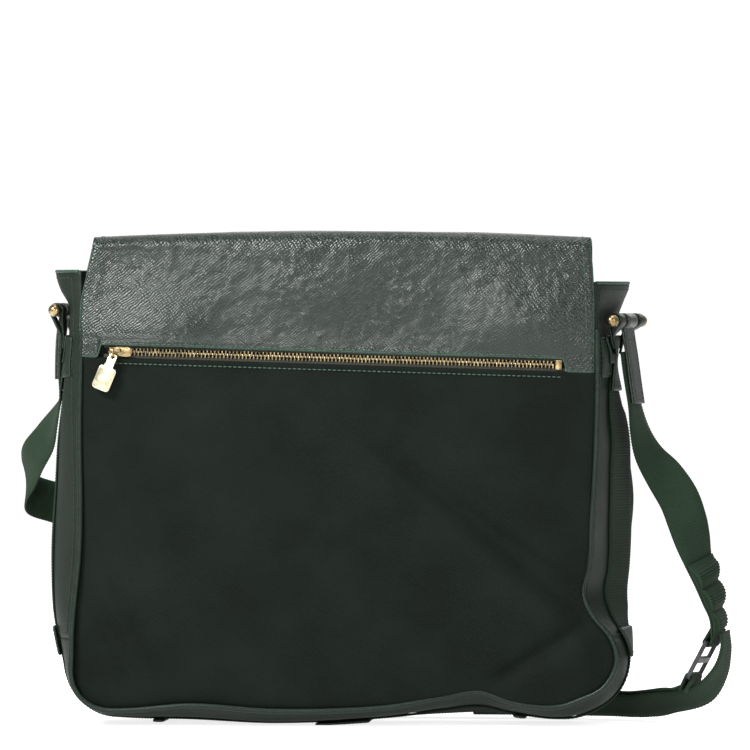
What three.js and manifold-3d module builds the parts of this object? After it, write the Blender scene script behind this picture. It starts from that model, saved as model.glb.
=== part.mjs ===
// A soft messenger bag that stands upright: a fabric body with leather gussets, a leather flap that folds over
// the top, a zipped pocket on the rear face, and a webbing shoulder strap on two ball-ended bars.
//
// Millimetres, +Z up. The origin is on the floor below the middle of the bag. The rear face (the zipped one)
// looks along -Y, the flap hangs down the front face at +Y, and +X is to the right of a person who looks at
// the rear face.

import * as THREE from 'three';
import { mergeVertices } from 'three/addons/utils/BufferGeometryUtils.js';
import Module from 'manifold-3d';

const wasm = await Module();
wasm.setup();

// ---- Driving dimensions ------------------------------------------------------------------------------------

const GAP = 0.3; // between pieces that touch
const LAYER_GAP = 0.5; // between curved layers on the gusset

const TOP_HALF_WIDTH = 187; // of the seam between panel and gusset, at the gusset's top
const LOW_HALF_WIDTH = 193; // of the same seam, just above the bottom corners
const CORNER_RADIUS = 30;
const SEAM_BOTTOM = 12; // height of the seam along the bottom
const GUSSET_TOP = 328;
const SEAM_Y = 44; // the rear seam is at -SEAM_Y, the front seam at +SEAM_Y

const PIPING_RADIUS = 2;
const PANEL_THICKNESS = 2.4;
const LEATHER = 1.8;
const WEBBING = 1.6;
const WEBBING_WIDTH = 30;
const LINING = 0.8;

const CORNER_Z = SEAM_BOTTOM + CORNER_RADIUS;
const CORNER_X = LOW_HALF_WIDTH - CORNER_RADIUS;
const GUSSET_HALF_DEPTH = SEAM_Y - PIPING_RADIUS - 0.4;
const PANEL_INSET = PIPING_RADIUS + 0.4; // from the seam line to a panel's edge

const FLAP_HALF_WIDTH = 179;
const FLAP_TOP_Z = 351; // both fold lines of the flap
const FLAP_REAR_Y = -SEAM_Y;
const FLAP_FRONT_Y = 54;
const FLAP_LOW_Z = 62;
const FLAP_CORNER_RADIUS = 35;
const FOLD_CLEARANCE = 1.6; // from a fold line to the leather on either side of it
const REAR_FOLD_CLEARANCE = 5.5; // the flap turns further at the rear fold

const ZIP_MID_Z = 265.3;
const ZIP_SLOPE = THREE.MathUtils.degToRad(1.75); // the zip falls towards +X
const ZIP_START = -162;
const ZIP_END = 158;
const CHAIN_HALF = 3;
const SLIDER_LENGTH = 17.5;
const SLIDER_X = -156;

const BAR_RADIUS = 3;
const BALL_RADIUS = 4.5;
const BALL_Y = 34;
const LOOP_INNER = BAR_RADIUS + 0.5;
const LOOP_OUTER = LOOP_INNER + 2.3;
const degrees = THREE.MathUtils.degToRad;
const BARS = { // each bar's front end is turned towards +X
  left: { x: -201.4, z: 299.5, side: -1, turn: degrees(-6) },
  right: { x: 208, z: 292, side: 1, turn: degrees(-16) },
};

// ---- Materials ---------------------------------------------------------------------------------------------

const LOOKS = {
  twill: { color: 0x1c2622, roughness: 0.9, metalness: 0 },
  grained_leather: { color: 0x2c3b34, roughness: 0.4, metalness: 0 },
  smooth_leather: { color: 0x2f4037, roughness: 0.35, metalness: 0 },
  piping_leather: { color: 0x16281f, roughness: 0.45, metalness: 0 },
  webbing: { color: 0x24402d, roughness: 0.85, metalness: 0 },
  lining: { color: 0x202a25, roughness: 0.8, metalness: 0 },
  brass: { color: 0xb89a5a, roughness: 0.3, metalness: 1 },
  pale_brass: { color: 0xd8cfa8, roughness: 0.25, metalness: 1 },
  dark_metal: { color: 0x4a4a4c, roughness: 0.4, metalness: 0.8 },
  zip_tape: { color: 0x4b4a42, roughness: 0.9, metalness: 0 },
  board: { color: 0x2b2622, roughness: 0.9, metalness: 0 },
};

const bag = new THREE.Group();

function add(name, look, geometry, parent = bag) {
  const mesh = new THREE.Mesh(geometry, new THREE.MeshStandardMaterial(LOOKS[look]));
  mesh.name = name;
  parent.add(mesh);
  return mesh;
}

// ---- Shapes and solids -------------------------------------------------------------------------------------

// An outline in X and Z, made into a plate between two Y values.
function plate(shape, yLow, yHigh, curveSegments = 3) {
  const geometry = new THREE.ExtrudeGeometry(shape, { depth: yHigh - yLow, bevelEnabled: false, curveSegments });
  geometry.rotateX(Math.PI / 2);
  return geometry.translate(0, yHigh, 0);
}

function block(xLow, xHigh, yLow, yHigh, zLow, zHigh) {
  const geometry = new THREE.BoxGeometry(xHigh - xLow, yHigh - yLow, zHigh - zLow);
  return geometry.translate((xLow + xHigh) / 2, (yLow + yHigh) / 2, (zLow + zHigh) / 2);
}

function roundedRectangle(xLow, xHigh, zLow, zHigh, radius) {
  const shape = new THREE.Shape();
  shape.moveTo(xLow, zLow + radius);
  shape.absarc(xLow + radius, zLow + radius, radius, Math.PI, 1.5 * Math.PI, false);
  shape.absarc(xHigh - radius, zLow + radius, radius, 1.5 * Math.PI, 2 * Math.PI, false);
  shape.absarc(xHigh - radius, zHigh - radius, radius, 0, 0.5 * Math.PI, false);
  shape.absarc(xLow + radius, zHigh - radius, radius, 0.5 * Math.PI, Math.PI, false);
  shape.closePath();
  return shape;
}

// Closed solid through rings of points, each ring going round the same way. A ring is closed at the ends of
// the solid by triangles between its first half and its second half, which run opposite each other.
function skin(rings) {
  const count = rings[0].length;
  const positions = rings.flat().flatMap((point) => point.toArray());
  const index = [];
  for (let i = 0; i + 1 < rings.length; i += 1) {
    for (let j = 0; j < count; j += 1) {
      const a = i * count + j;
      const b = i * count + ((j + 1) % count);
      index.push(a, b, b + count, a, b + count, a + count);
    }
  }
  const last = (rings.length - 1) * count;
  for (let j = 0; j + 1 < count / 2; j += 1) {
    const [a, b, c, d] = [j, j + 1, count - 2 - j, count - 1 - j];
    index.push(c, b, a, d, c, a);
    index.push(last + a, last + b, last + c, last + a, last + c, last + d);
  }
  const geometry = new THREE.BufferGeometry();
  geometry.setAttribute('position', new THREE.Float32BufferAttribute(positions, 3));
  geometry.setIndex(index);
  return geometry;
}

// The same, from one outline in frames of their own: origin, right and up, with right x up along the way.
function loft(frames, outline) {
  return skin(frames.map(({ origin, right, up }) => {
    return outline.map(([x, y]) => origin.clone().addScaledVector(right, x).addScaledVector(up, y));
  }));
}

function asManifold(geometry) {
  const bare = geometry.clone();
  bare.deleteAttribute('normal');
  bare.deleteAttribute('uv');
  const merged = mergeVertices(bare, 1e-4);
  return new wasm.Manifold(new wasm.Mesh({
    numProp: 3,
    vertProperties: new Float32Array(merged.attributes.position.array),
    triVerts: new Uint32Array(merged.index.array),
  }));
}

function asGeometry(manifold) {
  const { vertProperties, triVerts } = manifold.getMesh();
  const geometry = new THREE.BufferGeometry();
  geometry.setAttribute('position', new THREE.Float32BufferAttribute(vertProperties, 3));
  geometry.setIndex(new THREE.Uint32BufferAttribute(triVerts, 1));
  return geometry;
}

function joined(...geometries) {
  return asGeometry(geometries.map(asManifold).reduce((whole, next) => whole.add(next)));
}

// ---- The seam line and the gusset's surface ----------------------------------------------------------------

// The seam runs down the left side, round the bottom and up the right side. A place on it is a distance in
// millimetres from its left top end.
const SIDE_LENGTH = Math.hypot(LOW_HALF_WIDTH - TOP_HALF_WIDTH, GUSSET_TOP - CORNER_Z);
const CORNER_LENGTH = (CORNER_RADIUS * Math.PI) / 2;
const BOTTOM_LENGTH = 2 * CORNER_X;
const SEAM_LENGTH = 2 * SIDE_LENGTH + 2 * CORNER_LENGTH + BOTTOM_LENGTH;

function seamPoint(s) {
  const mirrored = s > SEAM_LENGTH / 2;
  const d = mirrored ? SEAM_LENGTH - s : s;
  let x;
  let z;
  let angle;
  if (d < SIDE_LENGTH) {
    x = -THREE.MathUtils.lerp(TOP_HALF_WIDTH, LOW_HALF_WIDTH, d / SIDE_LENGTH);
    z = THREE.MathUtils.lerp(GUSSET_TOP, CORNER_Z, d / SIDE_LENGTH);
    angle = Math.PI;
  } else if (d < SIDE_LENGTH + CORNER_LENGTH) {
    angle = Math.PI + (d - SIDE_LENGTH) / CORNER_RADIUS;
    x = -CORNER_X + CORNER_RADIUS * Math.cos(angle);
    z = CORNER_Z + CORNER_RADIUS * Math.sin(angle);
  } else {
    angle = 1.5 * Math.PI;
    x = -CORNER_X + (d - SIDE_LENGTH - CORNER_LENGTH);
    z = SEAM_BOTTOM;
  }
  const flip = mirrored ? -1 : 1;
  return { x: flip * x, z, out: new THREE.Vector3(flip * Math.cos(angle), 0, Math.sin(angle)) };
}

const leftAt = (z) => ((GUSSET_TOP - z) / (GUSSET_TOP - CORNER_Z)) * SIDE_LENGTH;
const rightAt = (z) => SEAM_LENGTH - leftAt(z);
const bottomAt = (x) => SIDE_LENGTH + CORNER_LENGTH + CORNER_X + x;

// How far the leather bows out of the seam line: by how much, where across the gusset the highest point is
// (-1 rear seam, +1 front seam), and how boxy the bow is (2 a parabola, more is flatter).
const FLAT_BOW = 7.9; // along the bottom
const BOWS = [
  { s: leftAt(GUSSET_TOP), bow: 14, apex: -0.3, boxy: 2 },
  { s: leftAt(314), bow: 11, apex: -0.2, boxy: 3 },
  { s: leftAt(304), bow: 4, apex: 0, boxy: 4 },
  { s: leftAt(284), bow: 4, apex: 0, boxy: 4 },
  { s: leftAt(243), bow: 5.5, apex: -0.1, boxy: 3 },
  { s: leftAt(190), bow: 15, apex: -0.1, boxy: 2 },
  { s: leftAt(70), bow: 17, apex: 0, boxy: 2.5 },
  { s: bottomAt(-CORNER_X), bow: FLAT_BOW, apex: 0, boxy: 8 },
  { s: bottomAt(CORNER_X), bow: FLAT_BOW, apex: 0, boxy: 8 },
  { s: rightAt(70), bow: 15, apex: 0.2, boxy: 2.5 },
  { s: rightAt(120), bow: 21, apex: 0.3, boxy: 2 },
  { s: rightAt(190), bow: 20, apex: 0.3, boxy: 2 },
  { s: rightAt(241), bow: 10, apex: 0.2, boxy: 2 },
  { s: rightAt(276), bow: 3.6, apex: 0, boxy: 4 },
  { s: rightAt(299), bow: 3.6, apex: 0, boxy: 4 },
  { s: rightAt(310), bow: 14, apex: 0, boxy: 3 },
  { s: rightAt(GUSSET_TOP), bow: 19, apex: 0, boxy: 2 },
];

function bowAt(s, y) {
  const next = Math.max(1, BOWS.findIndex((key) => key.s >= s - 1e-6));
  const [a, b] = [BOWS[next - 1], BOWS[next]];
  const t = THREE.MathUtils.smoothstep(s, a.s, b.s);
  const mix = (key) => THREE.MathUtils.lerp(a[key], b[key], t);
  const u = y / GUSSET_HALF_DEPTH;
  const apex = mix('apex');
  const away = u < apex ? (apex - u) / (1 + apex) : (u - apex) / (1 - apex);
  return mix('bow') * (1 - away ** mix('boxy'));
}

// Rows along the seam line and columns across the gusset. All the layers share them, so that their faces stay
// parallel and the gaps between them stay open.
const ROWS = [];
const addRows = (from, to, count) => {
  for (let i = 0; i < count; i += 1) {
    ROWS.push(THREE.MathUtils.lerp(from, to, i / count));
  }
};
const UPPER = 92; // length of the finely divided stretch at each side's top
addRows(0, UPPER, 9);
addRows(UPPER, SIDE_LENGTH, 9);
addRows(SIDE_LENGTH, SIDE_LENGTH + CORNER_LENGTH, 6);
addRows(SIDE_LENGTH + CORNER_LENGTH, SIDE_LENGTH + CORNER_LENGTH + BOTTOM_LENGTH, 6);
addRows(SEAM_LENGTH - SIDE_LENGTH - CORNER_LENGTH, SEAM_LENGTH - SIDE_LENGTH, 6);
addRows(SEAM_LENGTH - SIDE_LENGTH, SEAM_LENGTH - UPPER, 9);
addRows(SEAM_LENGTH - UPPER, SEAM_LENGTH, 9);
ROWS.push(SEAM_LENGTH);
const COLUMNS = 10;
const columnY = (j) => THREE.MathUtils.lerp(-GUSSET_HALF_DEPTH, GUSSET_HALF_DEPTH, j / COLUMNS);

// The rows from one place to another, with those two places.
function rowsBetween(from, to) {
  return [from, ...ROWS.filter((s) => s > from + 1 && s < to - 1), to];
}

// A place on the faceted surface: it lies on the straight lines between the nearest rows and columns.
function surfacePoint(s, y, depth, bowed) {
  const onRow = (row) => {
    const { x, z, out } = seamPoint(row);
    const j = THREE.MathUtils.clamp(Math.floor(((y + GUSSET_HALF_DEPTH) / (2 * GUSSET_HALF_DEPTH)) * COLUMNS), 0,
      COLUMNS - 1);
    const t = (y - columnY(j)) / (columnY(j + 1) - columnY(j));
    const bow = bowed ? THREE.MathUtils.lerp(bowAt(row, columnY(j)), bowAt(row, columnY(j + 1)), t) : 0;
    return new THREE.Vector3(x, y, z).addScaledVector(out, bow + depth);
  };
  const next = Math.max(1, ROWS.findIndex((row) => row >= s - 1e-6));
  const [low, high] = [ROWS[next - 1], ROWS[next]];
  return onRow(low).lerp(onRow(high), (s - low) / (high - low));
}

// A strip of material that lies on the gusset's surface, between two places on the seam line, with its inner
// and outer faces at two distances from the leather's outer face.
function gussetStrip(from, to, halfWidth, inner, outer, bowed = true) {
  const across = [halfWidth];
  for (let j = COLUMNS; j >= 0; j -= 1) {
    if (bowed && Math.abs(columnY(j)) < halfWidth - 0.5) {
      across.push(columnY(j));
    }
  }
  across.push(-halfWidth);
  const rings = rowsBetween(from, to).map((s) => [
    ...across.map((y) => surfacePoint(s, y, inner, bowed)),
    ...across.toReversed().map((y) => surfacePoint(s, y, outer, bowed)),
  ]);
  return skin(rings);
}

// ---- Panels, piping and lining -----------------------------------------------------------------------------

// The seam line moved inwards, closed across the top between two heights.
function seamOutline(inset, leftTopZ, rightTopZ) {
  const widthAt = (z) => {
    const t = (GUSSET_TOP - z) / (GUSSET_TOP - CORNER_Z);
    return THREE.MathUtils.lerp(TOP_HALF_WIDTH, LOW_HALF_WIDTH, t) - inset;
  };
  const radius = CORNER_RADIUS - inset;
  const shape = new THREE.Shape();
  shape.moveTo(-widthAt(leftTopZ), leftTopZ);
  shape.lineTo(-widthAt(CORNER_Z), CORNER_Z);
  shape.absarc(-CORNER_X, CORNER_Z, radius, Math.PI, 1.5 * Math.PI, false);
  shape.absarc(CORNER_X, CORNER_Z, radius, 1.5 * Math.PI, 2 * Math.PI, false);
  shape.lineTo(widthAt(rightTopZ), rightTopZ);
  shape.closePath();
  return shape;
}

const zipZ = (x) => ZIP_MID_Z - Math.tan(ZIP_SLOPE) * x;
const FABRIC_BELOW_ZIP = 6; // from the zip's middle line down to the back panel's top edge
const YOKE_ABOVE_ZIP = 4.5;

function buildPanels() {
  const edge = TOP_HALF_WIDTH - PANEL_INSET;
  const outer = SEAM_Y + PANEL_THICKNESS / 2;
  const inner = SEAM_Y - PANEL_THICKNESS / 2;

  const backTop = (x) => zipZ(x) - FABRIC_BELOW_ZIP;
  add('back_panel', 'twill', plate(seamOutline(PANEL_INSET, backTop(-edge), backTop(edge)), -outer, -inner, 6));

  const yoke = new THREE.Shape();
  const notchZ = 289; // below this the yoke is sewn in between the ends of the piping
  const wideX = 188.5; // where the free edges are widest, just above the notch
  const windowLeft = -170; // the yoke goes round both ends of the zip, down to the fabric
  const windowRight = 166;
  const sewnTo = FABRIC_BELOW_ZIP - GAP;
  yoke.moveTo(-edge + 1, zipZ(-edge) - sewnTo);
  yoke.lineTo(windowLeft, zipZ(windowLeft) - sewnTo);
  yoke.lineTo(windowLeft, zipZ(windowLeft) + YOKE_ABOVE_ZIP);
  yoke.lineTo(windowRight, zipZ(windowRight) + YOKE_ABOVE_ZIP);
  yoke.lineTo(windowRight, zipZ(windowRight) - sewnTo);
  yoke.lineTo(edge - 1, zipZ(edge) - sewnTo);
  yoke.lineTo(edge - 1, notchZ);
  yoke.lineTo(wideX, notchZ + 6);
  yoke.lineTo(FLAP_HALF_WIDTH, FLAP_TOP_Z - FOLD_CLEARANCE);
  yoke.lineTo(-FLAP_HALF_WIDTH, FLAP_TOP_Z - FOLD_CLEARANCE);
  yoke.lineTo(-wideX, notchZ + 6);
  yoke.lineTo(-edge + 1, notchZ);
  yoke.closePath();
  add('back_yoke', 'grained_leather', plate(yoke, -outer, -inner));

  const frontTopZ = 338;
  add('front_panel', 'twill', plate(seamOutline(PANEL_INSET, frontTopZ, frontTopZ), inner, outer, 6));

  const pocketY = outer + GAP;
  const pocketTopZ = 236;
  const trimZ = 250;
  add('front_pocket', 'twill', plate(roundedRectangle(-150, 150, 66, pocketTopZ, 14), pocketY, pocketY + 1.4));
  add('front_pocket_trim', 'smooth_leather', block(-150, 150, pocketY, pocketY + 1.4, pocketTopZ + GAP, trimZ));

  const pocketBag = roundedRectangle(-168, 160, 60, 290, 12);
  add('zip_pocket_bag', 'lining', plate(pocketBag, -inner + 1.5, -inner + 3.1));
}

function buildPiping() {
  const rearTopZ = 287;
  const frontTopZ = GUSSET_TOP;
  const sides = 8;
  const outline = [];
  for (let k = 0; k < sides; k += 1) {
    const angle = (2 * Math.PI * k) / sides;
    outline.push([PIPING_RADIUS * Math.cos(angle), PIPING_RADIUS * Math.sin(angle)]);
  }
  const tube = (y, topZ) => {
    const frames = rowsBetween(leftAt(topZ), rightAt(topZ)).map((s) => {
      const { x, z, out } = seamPoint(s);
      return { origin: new THREE.Vector3(x, y, z), right: new THREE.Vector3(0, -1, 0), up: out };
    });
    return loft(frames, outline);
  };
  add('back_piping', 'piping_leather', tube(-SEAM_Y, rearTopZ));
  add('front_piping', 'piping_leather', tube(SEAM_Y, frontTopZ));
}

function buildLining() {
  const inset = 6;
  const wallY = 38;
  const topZ = 340;
  const half = wallY - GAP;
  add('lining_back', 'lining', plate(seamOutline(inset, topZ, topZ), -wallY - LINING, -wallY, 6));
  add('lining_front', 'lining', plate(seamOutline(inset, topZ, topZ), wallY, wallY + LINING, 6));
  const low = leftAt(GUSSET_TOP - 4);
  add('lining_gusset', 'lining',
    gussetStrip(low, SEAM_LENGTH - low, half, -inset - LINING, -inset, false));
  add('inner_pocket', 'lining', plate(roundedRectangle(-90, 90, 120, 262, 8), -wallY + GAP, -wallY + 1.3));
  const boardZ = SEAM_BOTTOM + 1.3;
  add('bottom_board', 'board', block(-160, 160, -36, 36, boardZ, boardZ + 2.5));
}

// ---- Gussets, webbing and keepers --------------------------------------------------------------------------

const CORNER_SEAM_Z = 63; // the side leather meets the bottom leather here
const WEB_TOP_Z = 251; // the side webbing ends here, under the anchor
const webHalf = WEBBING_WIDTH / 2;
const WEB_IN = LAYER_GAP;
const WEB_OUT = WEB_IN + WEBBING;
const OVER_IN = WEB_OUT + LAYER_GAP; // pieces that lie over the webbing
const OVER_OUT = OVER_IN + 1.9;

function buildGussets() {
  const top = leftAt(GUSSET_TOP);
  const seam = leftAt(CORNER_SEAM_Z);
  const half = GUSSET_HALF_DEPTH;
  add('gusset_left', 'smooth_leather', gussetStrip(top, seam, half, -LEATHER, 0));
  add('gusset_right', 'smooth_leather', gussetStrip(SEAM_LENGTH - seam, SEAM_LENGTH - top, half, -LEATHER, 0));
  add('gusset_bottom', 'smooth_leather',
    gussetStrip(seam + GAP, SEAM_LENGTH - seam - GAP, half, -LEATHER, 0));
}

function buildSideWebbing() {
  const top = leftAt(WEB_TOP_Z - GAP);
  const corner = leftAt(CORNER_SEAM_Z);
  const ends = { left: [top, corner - GAP], right: [SEAM_LENGTH - corner + GAP, SEAM_LENGTH - top] };
  for (const side of ['left', 'right']) {
    add(`side_webbing_${side}`, 'webbing', gussetStrip(...ends[side], webHalf, WEB_IN, WEB_OUT));
  }
  add('bottom_webbing', 'webbing', gussetStrip(corner, SEAM_LENGTH - corner, webHalf, WEB_IN, WEB_OUT));
}

function buildKeepers() {
  const keeperHalf = 21;
  const keepers = {
    bottom_keeper_left: [bottomAt(-134), bottomAt(-127)],
    bottom_keeper_middle: [bottomAt(-16), bottomAt(22)],
    bottom_keeper_right: [bottomAt(127), bottomAt(134)],
    corner_tab_left: [leftAt(70), leftAt(50)],
    corner_tab_right: [rightAt(50), rightAt(70)],
  };
  for (const [name, [from, to]] of Object.entries(keepers)) {
    add(name, 'smooth_leather', gussetStrip(from, to, keeperHalf, OVER_IN, OVER_OUT));
  }
}

// ---- Bars, anchors and strap tabs --------------------------------------------------------------------------

const ANCHOR_HALF = 17;
const LOOP_SPANS = [[-28.5, -16.5], [16.5, 28.5]]; // the anchor's two loops, either side of the strap's tab
const TAB_HALF = 11;
const TAB_THICKNESS = 3.2;

// Everything on a bar is built with the bar along Y at the origin, and then turned and moved to its place.
const placed = (geometry, bar) => geometry.rotateZ(bar.turn).translate(bar.x, 0, bar.z);

// A round leather loop about a bar, between two Y values.
function loop(yLow, yHigh) {
  const profile = [
    new THREE.Vector2(LOOP_INNER, yLow),
    new THREE.Vector2(LOOP_OUTER, yLow),
    new THREE.Vector2(LOOP_OUTER, yHigh),
    new THREE.Vector2(LOOP_INNER, yHigh),
    new THREE.Vector2(LOOP_INNER, yLow),
  ];
  return new THREE.LatheGeometry(profile, 16);
}

// A flat strip of leather through points in X and Z.
function ribbon(points, thickness, yLow, yHigh) {
  const line = new THREE.CatmullRomCurve3(points.map(([x, z]) => new THREE.Vector3(x, 0, z)));
  const steps = (points.length - 1) * 3;
  const frames = [];
  for (let i = 0; i <= steps; i += 1) {
    const along = line.getTangent(i / steps);
    const right = new THREE.Vector3(0, 1, 0);
    frames.push({ origin: line.getPoint(i / steps), right, up: new THREE.Vector3().crossVectors(along, right) });
  }
  const half = thickness / 2;
  return loft(frames, [[yLow, -half], [yHigh, -half], [yHigh, half], [yLow, half]]);
}

function buildBars() {
  const half = BALL_Y - BALL_RADIUS - GAP;
  for (const [name, bar] of Object.entries(BARS)) {
    add(`bar_${name}`, 'brass', placed(new THREE.CylinderGeometry(BAR_RADIUS, BAR_RADIUS, 2 * half, 16), bar));
    for (const [end, y] of [['rear', -BALL_Y], ['front', BALL_Y]]) {
      const ball = new THREE.SphereGeometry(BALL_RADIUS, 12, 8).translate(0, y, 0);
      add(`ball_${name}_${end}`, 'brass', placed(ball, bar));
    }
  }
}

// A leather leg from the inner side of a loop down to the anchor's plate on the gusset.
function leg(bar, at, footZ, [yLow, yHigh]) {
  const wall = (LOOP_INNER + LOOP_OUTER) / 2;
  const thin = 0.8;
  const axis = new THREE.Vector3(0, 0, 1);
  const onLoop = (y, depth, drop) => {
    const point = new THREE.Vector3(-bar.side * (wall - depth), y, 0).applyAxisAngle(axis, bar.turn);
    return point.add(new THREE.Vector3(bar.x, 0, bar.z - drop));
  };
  const onPlate = (y, depth, drop) => surfacePoint(at(footZ - drop), y, (OVER_IN + OVER_OUT) / 2 + depth, true);
  const sides = bar.side > 0 ? [yLow, yHigh] : [yHigh, yLow];
  const ringOf = (place, drop) => [
    place(sides[0], -thin, drop), place(sides[1], -thin, drop), place(sides[1], thin, drop), place(sides[0], thin, drop),
  ];
  return skin([ringOf(onLoop, 0), ringOf(onLoop, 2), ringOf(onPlate, 0), ringOf(onPlate, 5)]);
}

function buildAnchors() {
  const patchZ = [WEB_TOP_Z + 2 * GAP, 280];
  const stemZ = [WEB_TOP_Z - 9, 268];
  const forkZ = [262, 281];
  for (const [name, bar] of Object.entries(BARS)) {
    const at = name === 'left' ? leftAt : rightAt;
    const onGusset = ([zLow, zHigh], half, inner, outer) => {
      const span = name === 'left' ? [at(zHigh), at(zLow)] : [at(zLow), at(zHigh)];
      return gussetStrip(...span, half, inner, outer);
    };
    add(`anchor_patch_${name}`, 'smooth_leather', onGusset(patchZ, 38, LAYER_GAP, LEATHER));

    // The anchor lies over the patch and the top of the webbing, and turns round the bar as two loops.
    add(`bar_anchor_${name}`, 'smooth_leather', joined(
      onGusset(forkZ, LOOP_SPANS[1][1], OVER_IN, OVER_OUT),
      onGusset(stemZ, ANCHOR_HALF, OVER_IN, OVER_OUT),
      ...LOOP_SPANS.map((span) => placed(loop(...span), bar)),
      ...LOOP_SPANS.map((span) => leg(bar, at, forkZ[1] - 2, span)),
    ));
  }
}

// Each strap tab turns round its bar and hangs down from it, here as points of its middle line.
const TAB_LINES = {
  right: [[0, -4.7], [1.1, -8], [2, -14], [4, -26], [9, -60]],
  left: [[0, -4.7], [-1.2, -10], [-2.4, -18], [-3, -27], [-3.5, -50]],
};

function buildTabs() {
  for (const [name, bar] of Object.entries(BARS)) {
    add(`strap_tab_${name}`, 'smooth_leather', placed(joined(
      loop(-TAB_HALF, TAB_HALF),
      ribbon(TAB_LINES[name], TAB_THICKNESS, -TAB_HALF, TAB_HALF),
    ), bar));
  }
}

// ---- Zip ---------------------------------------------------------------------------------------------------

// The zip is built level, with its middle line along X, and turned to its slope as a group.
const zip = new THREE.Group();
zip.position.set(0, 0, ZIP_MID_Z);
zip.rotation.y = ZIP_SLOPE;
bag.add(zip);

const TEETH_REAR_Y = -44.4;
const SLIDER_Y = [-47, -45.5];
const BRIDGE_Y = [-50.8, -49.6];
const BAIL_Y = -50.65;
const BAIL_RADIUS = 2.9;
const WIRE_RADIUS = 0.45;
const BAIL_X = -160.5;
const BRIDGE_TOP = 1.2;
const BAIL_DROP = BRIDGE_TOP - (BAIL_RADIUS - WIRE_RADIUS) + GAP; // the bail's centre hangs here
const PULLER_TURN = THREE.MathUtils.degToRad(21); // the puller hangs down and towards -X

function buildZip() {
  const rows = { upper: 1, lower: -1 };
  for (const [row, side] of Object.entries(rows)) {
    const span = (a, b) => (side > 0 ? [a, b] : [-b, -a]);
    add(`zip_teeth_${row}`, 'brass', block(ZIP_START, ZIP_END, TEETH_REAR_Y, -41.6, ...span(0.15, CHAIN_HALF)), zip);
    add(`zip_tape_${row}`, 'zip_tape', block(-168, 170, -42.5, -41.9, ...span(CHAIN_HALF + GAP + 0.4, 13)), zip);
  }
  add('zip_end_stop', 'brass', block(ZIP_END + GAP, ZIP_END + 5, -44.6, -41.6, -3.3, 3.3), zip);

  const sliderLow = SLIDER_X - SLIDER_LENGTH / 2;
  const sliderHigh = SLIDER_X + SLIDER_LENGTH / 2;
  const outline = new THREE.Shape();
  outline.moveTo(sliderLow, -2.6);
  outline.lineTo(sliderHigh - 6, -5.2);
  outline.lineTo(sliderHigh, -4.4);
  outline.lineTo(sliderHigh, 4.4);
  outline.lineTo(sliderHigh - 6, 5.2);
  outline.lineTo(sliderLow, 2.6);
  outline.closePath();
  const bridgeHalf = 4.2;
  const foot = 1.3;
  add('zip_slider', 'brass', joined(
    plate(outline, ...SLIDER_Y),
    block(BAIL_X - bridgeHalf + 1, BAIL_X + bridgeHalf + 1, ...BRIDGE_Y, 0, BRIDGE_TOP),
    block(BAIL_X - bridgeHalf + 1, BAIL_X - bridgeHalf + 1 + foot, BRIDGE_Y[1] - 0.6, SLIDER_Y[0] + 0.5, 0, BRIDGE_TOP),
    block(BAIL_X + bridgeHalf + 1 - foot, BAIL_X + bridgeHalf + 1, BRIDGE_Y[1] - 0.6, SLIDER_Y[0] + 0.5, 0, BRIDGE_TOP),
  ), zip);

  add('zip_bail', 'brass', new THREE.TorusGeometry(BAIL_RADIUS, WIRE_RADIUS, 6, 16)
    .rotateY(Math.PI / 2)
    .translate(BAIL_X, BAIL_Y, BAIL_DROP), zip);

  // The puller hangs on the bail's lowest point. Its own origin is there, and it is turned about that point.
  const puller = roundedRectangle(-6.6, 6.6, -26, -8.5, 2.8);
  const neck = roundedRectangle(-3, 3, -10, 1.6, 1);
  const eye = new THREE.Path();
  eye.absarc(0, -0.55, 1.25, 0, 2 * Math.PI, true);
  neck.holes.push(eye);
  const half = 0.8;
  add('zip_puller', 'pale_brass', joined(plate(puller, -half, half, 4), plate(neck, -half, half, 4))
    .rotateY(PULLER_TURN)
    .translate(BAIL_X, BAIL_Y, BAIL_DROP - BAIL_RADIUS), zip);
}

// ---- Flap --------------------------------------------------------------------------------------------------

const SNAP_RADIUS = 8;
const SNAP_X = 100;
const SNAP_Z = 120;

function disc(x, z, yLow, yHigh) {
  return new THREE.CylinderGeometry(SNAP_RADIUS, SNAP_RADIUS, yHigh - yLow, 20).translate(x, (yLow + yHigh) / 2, z);
}

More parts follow.
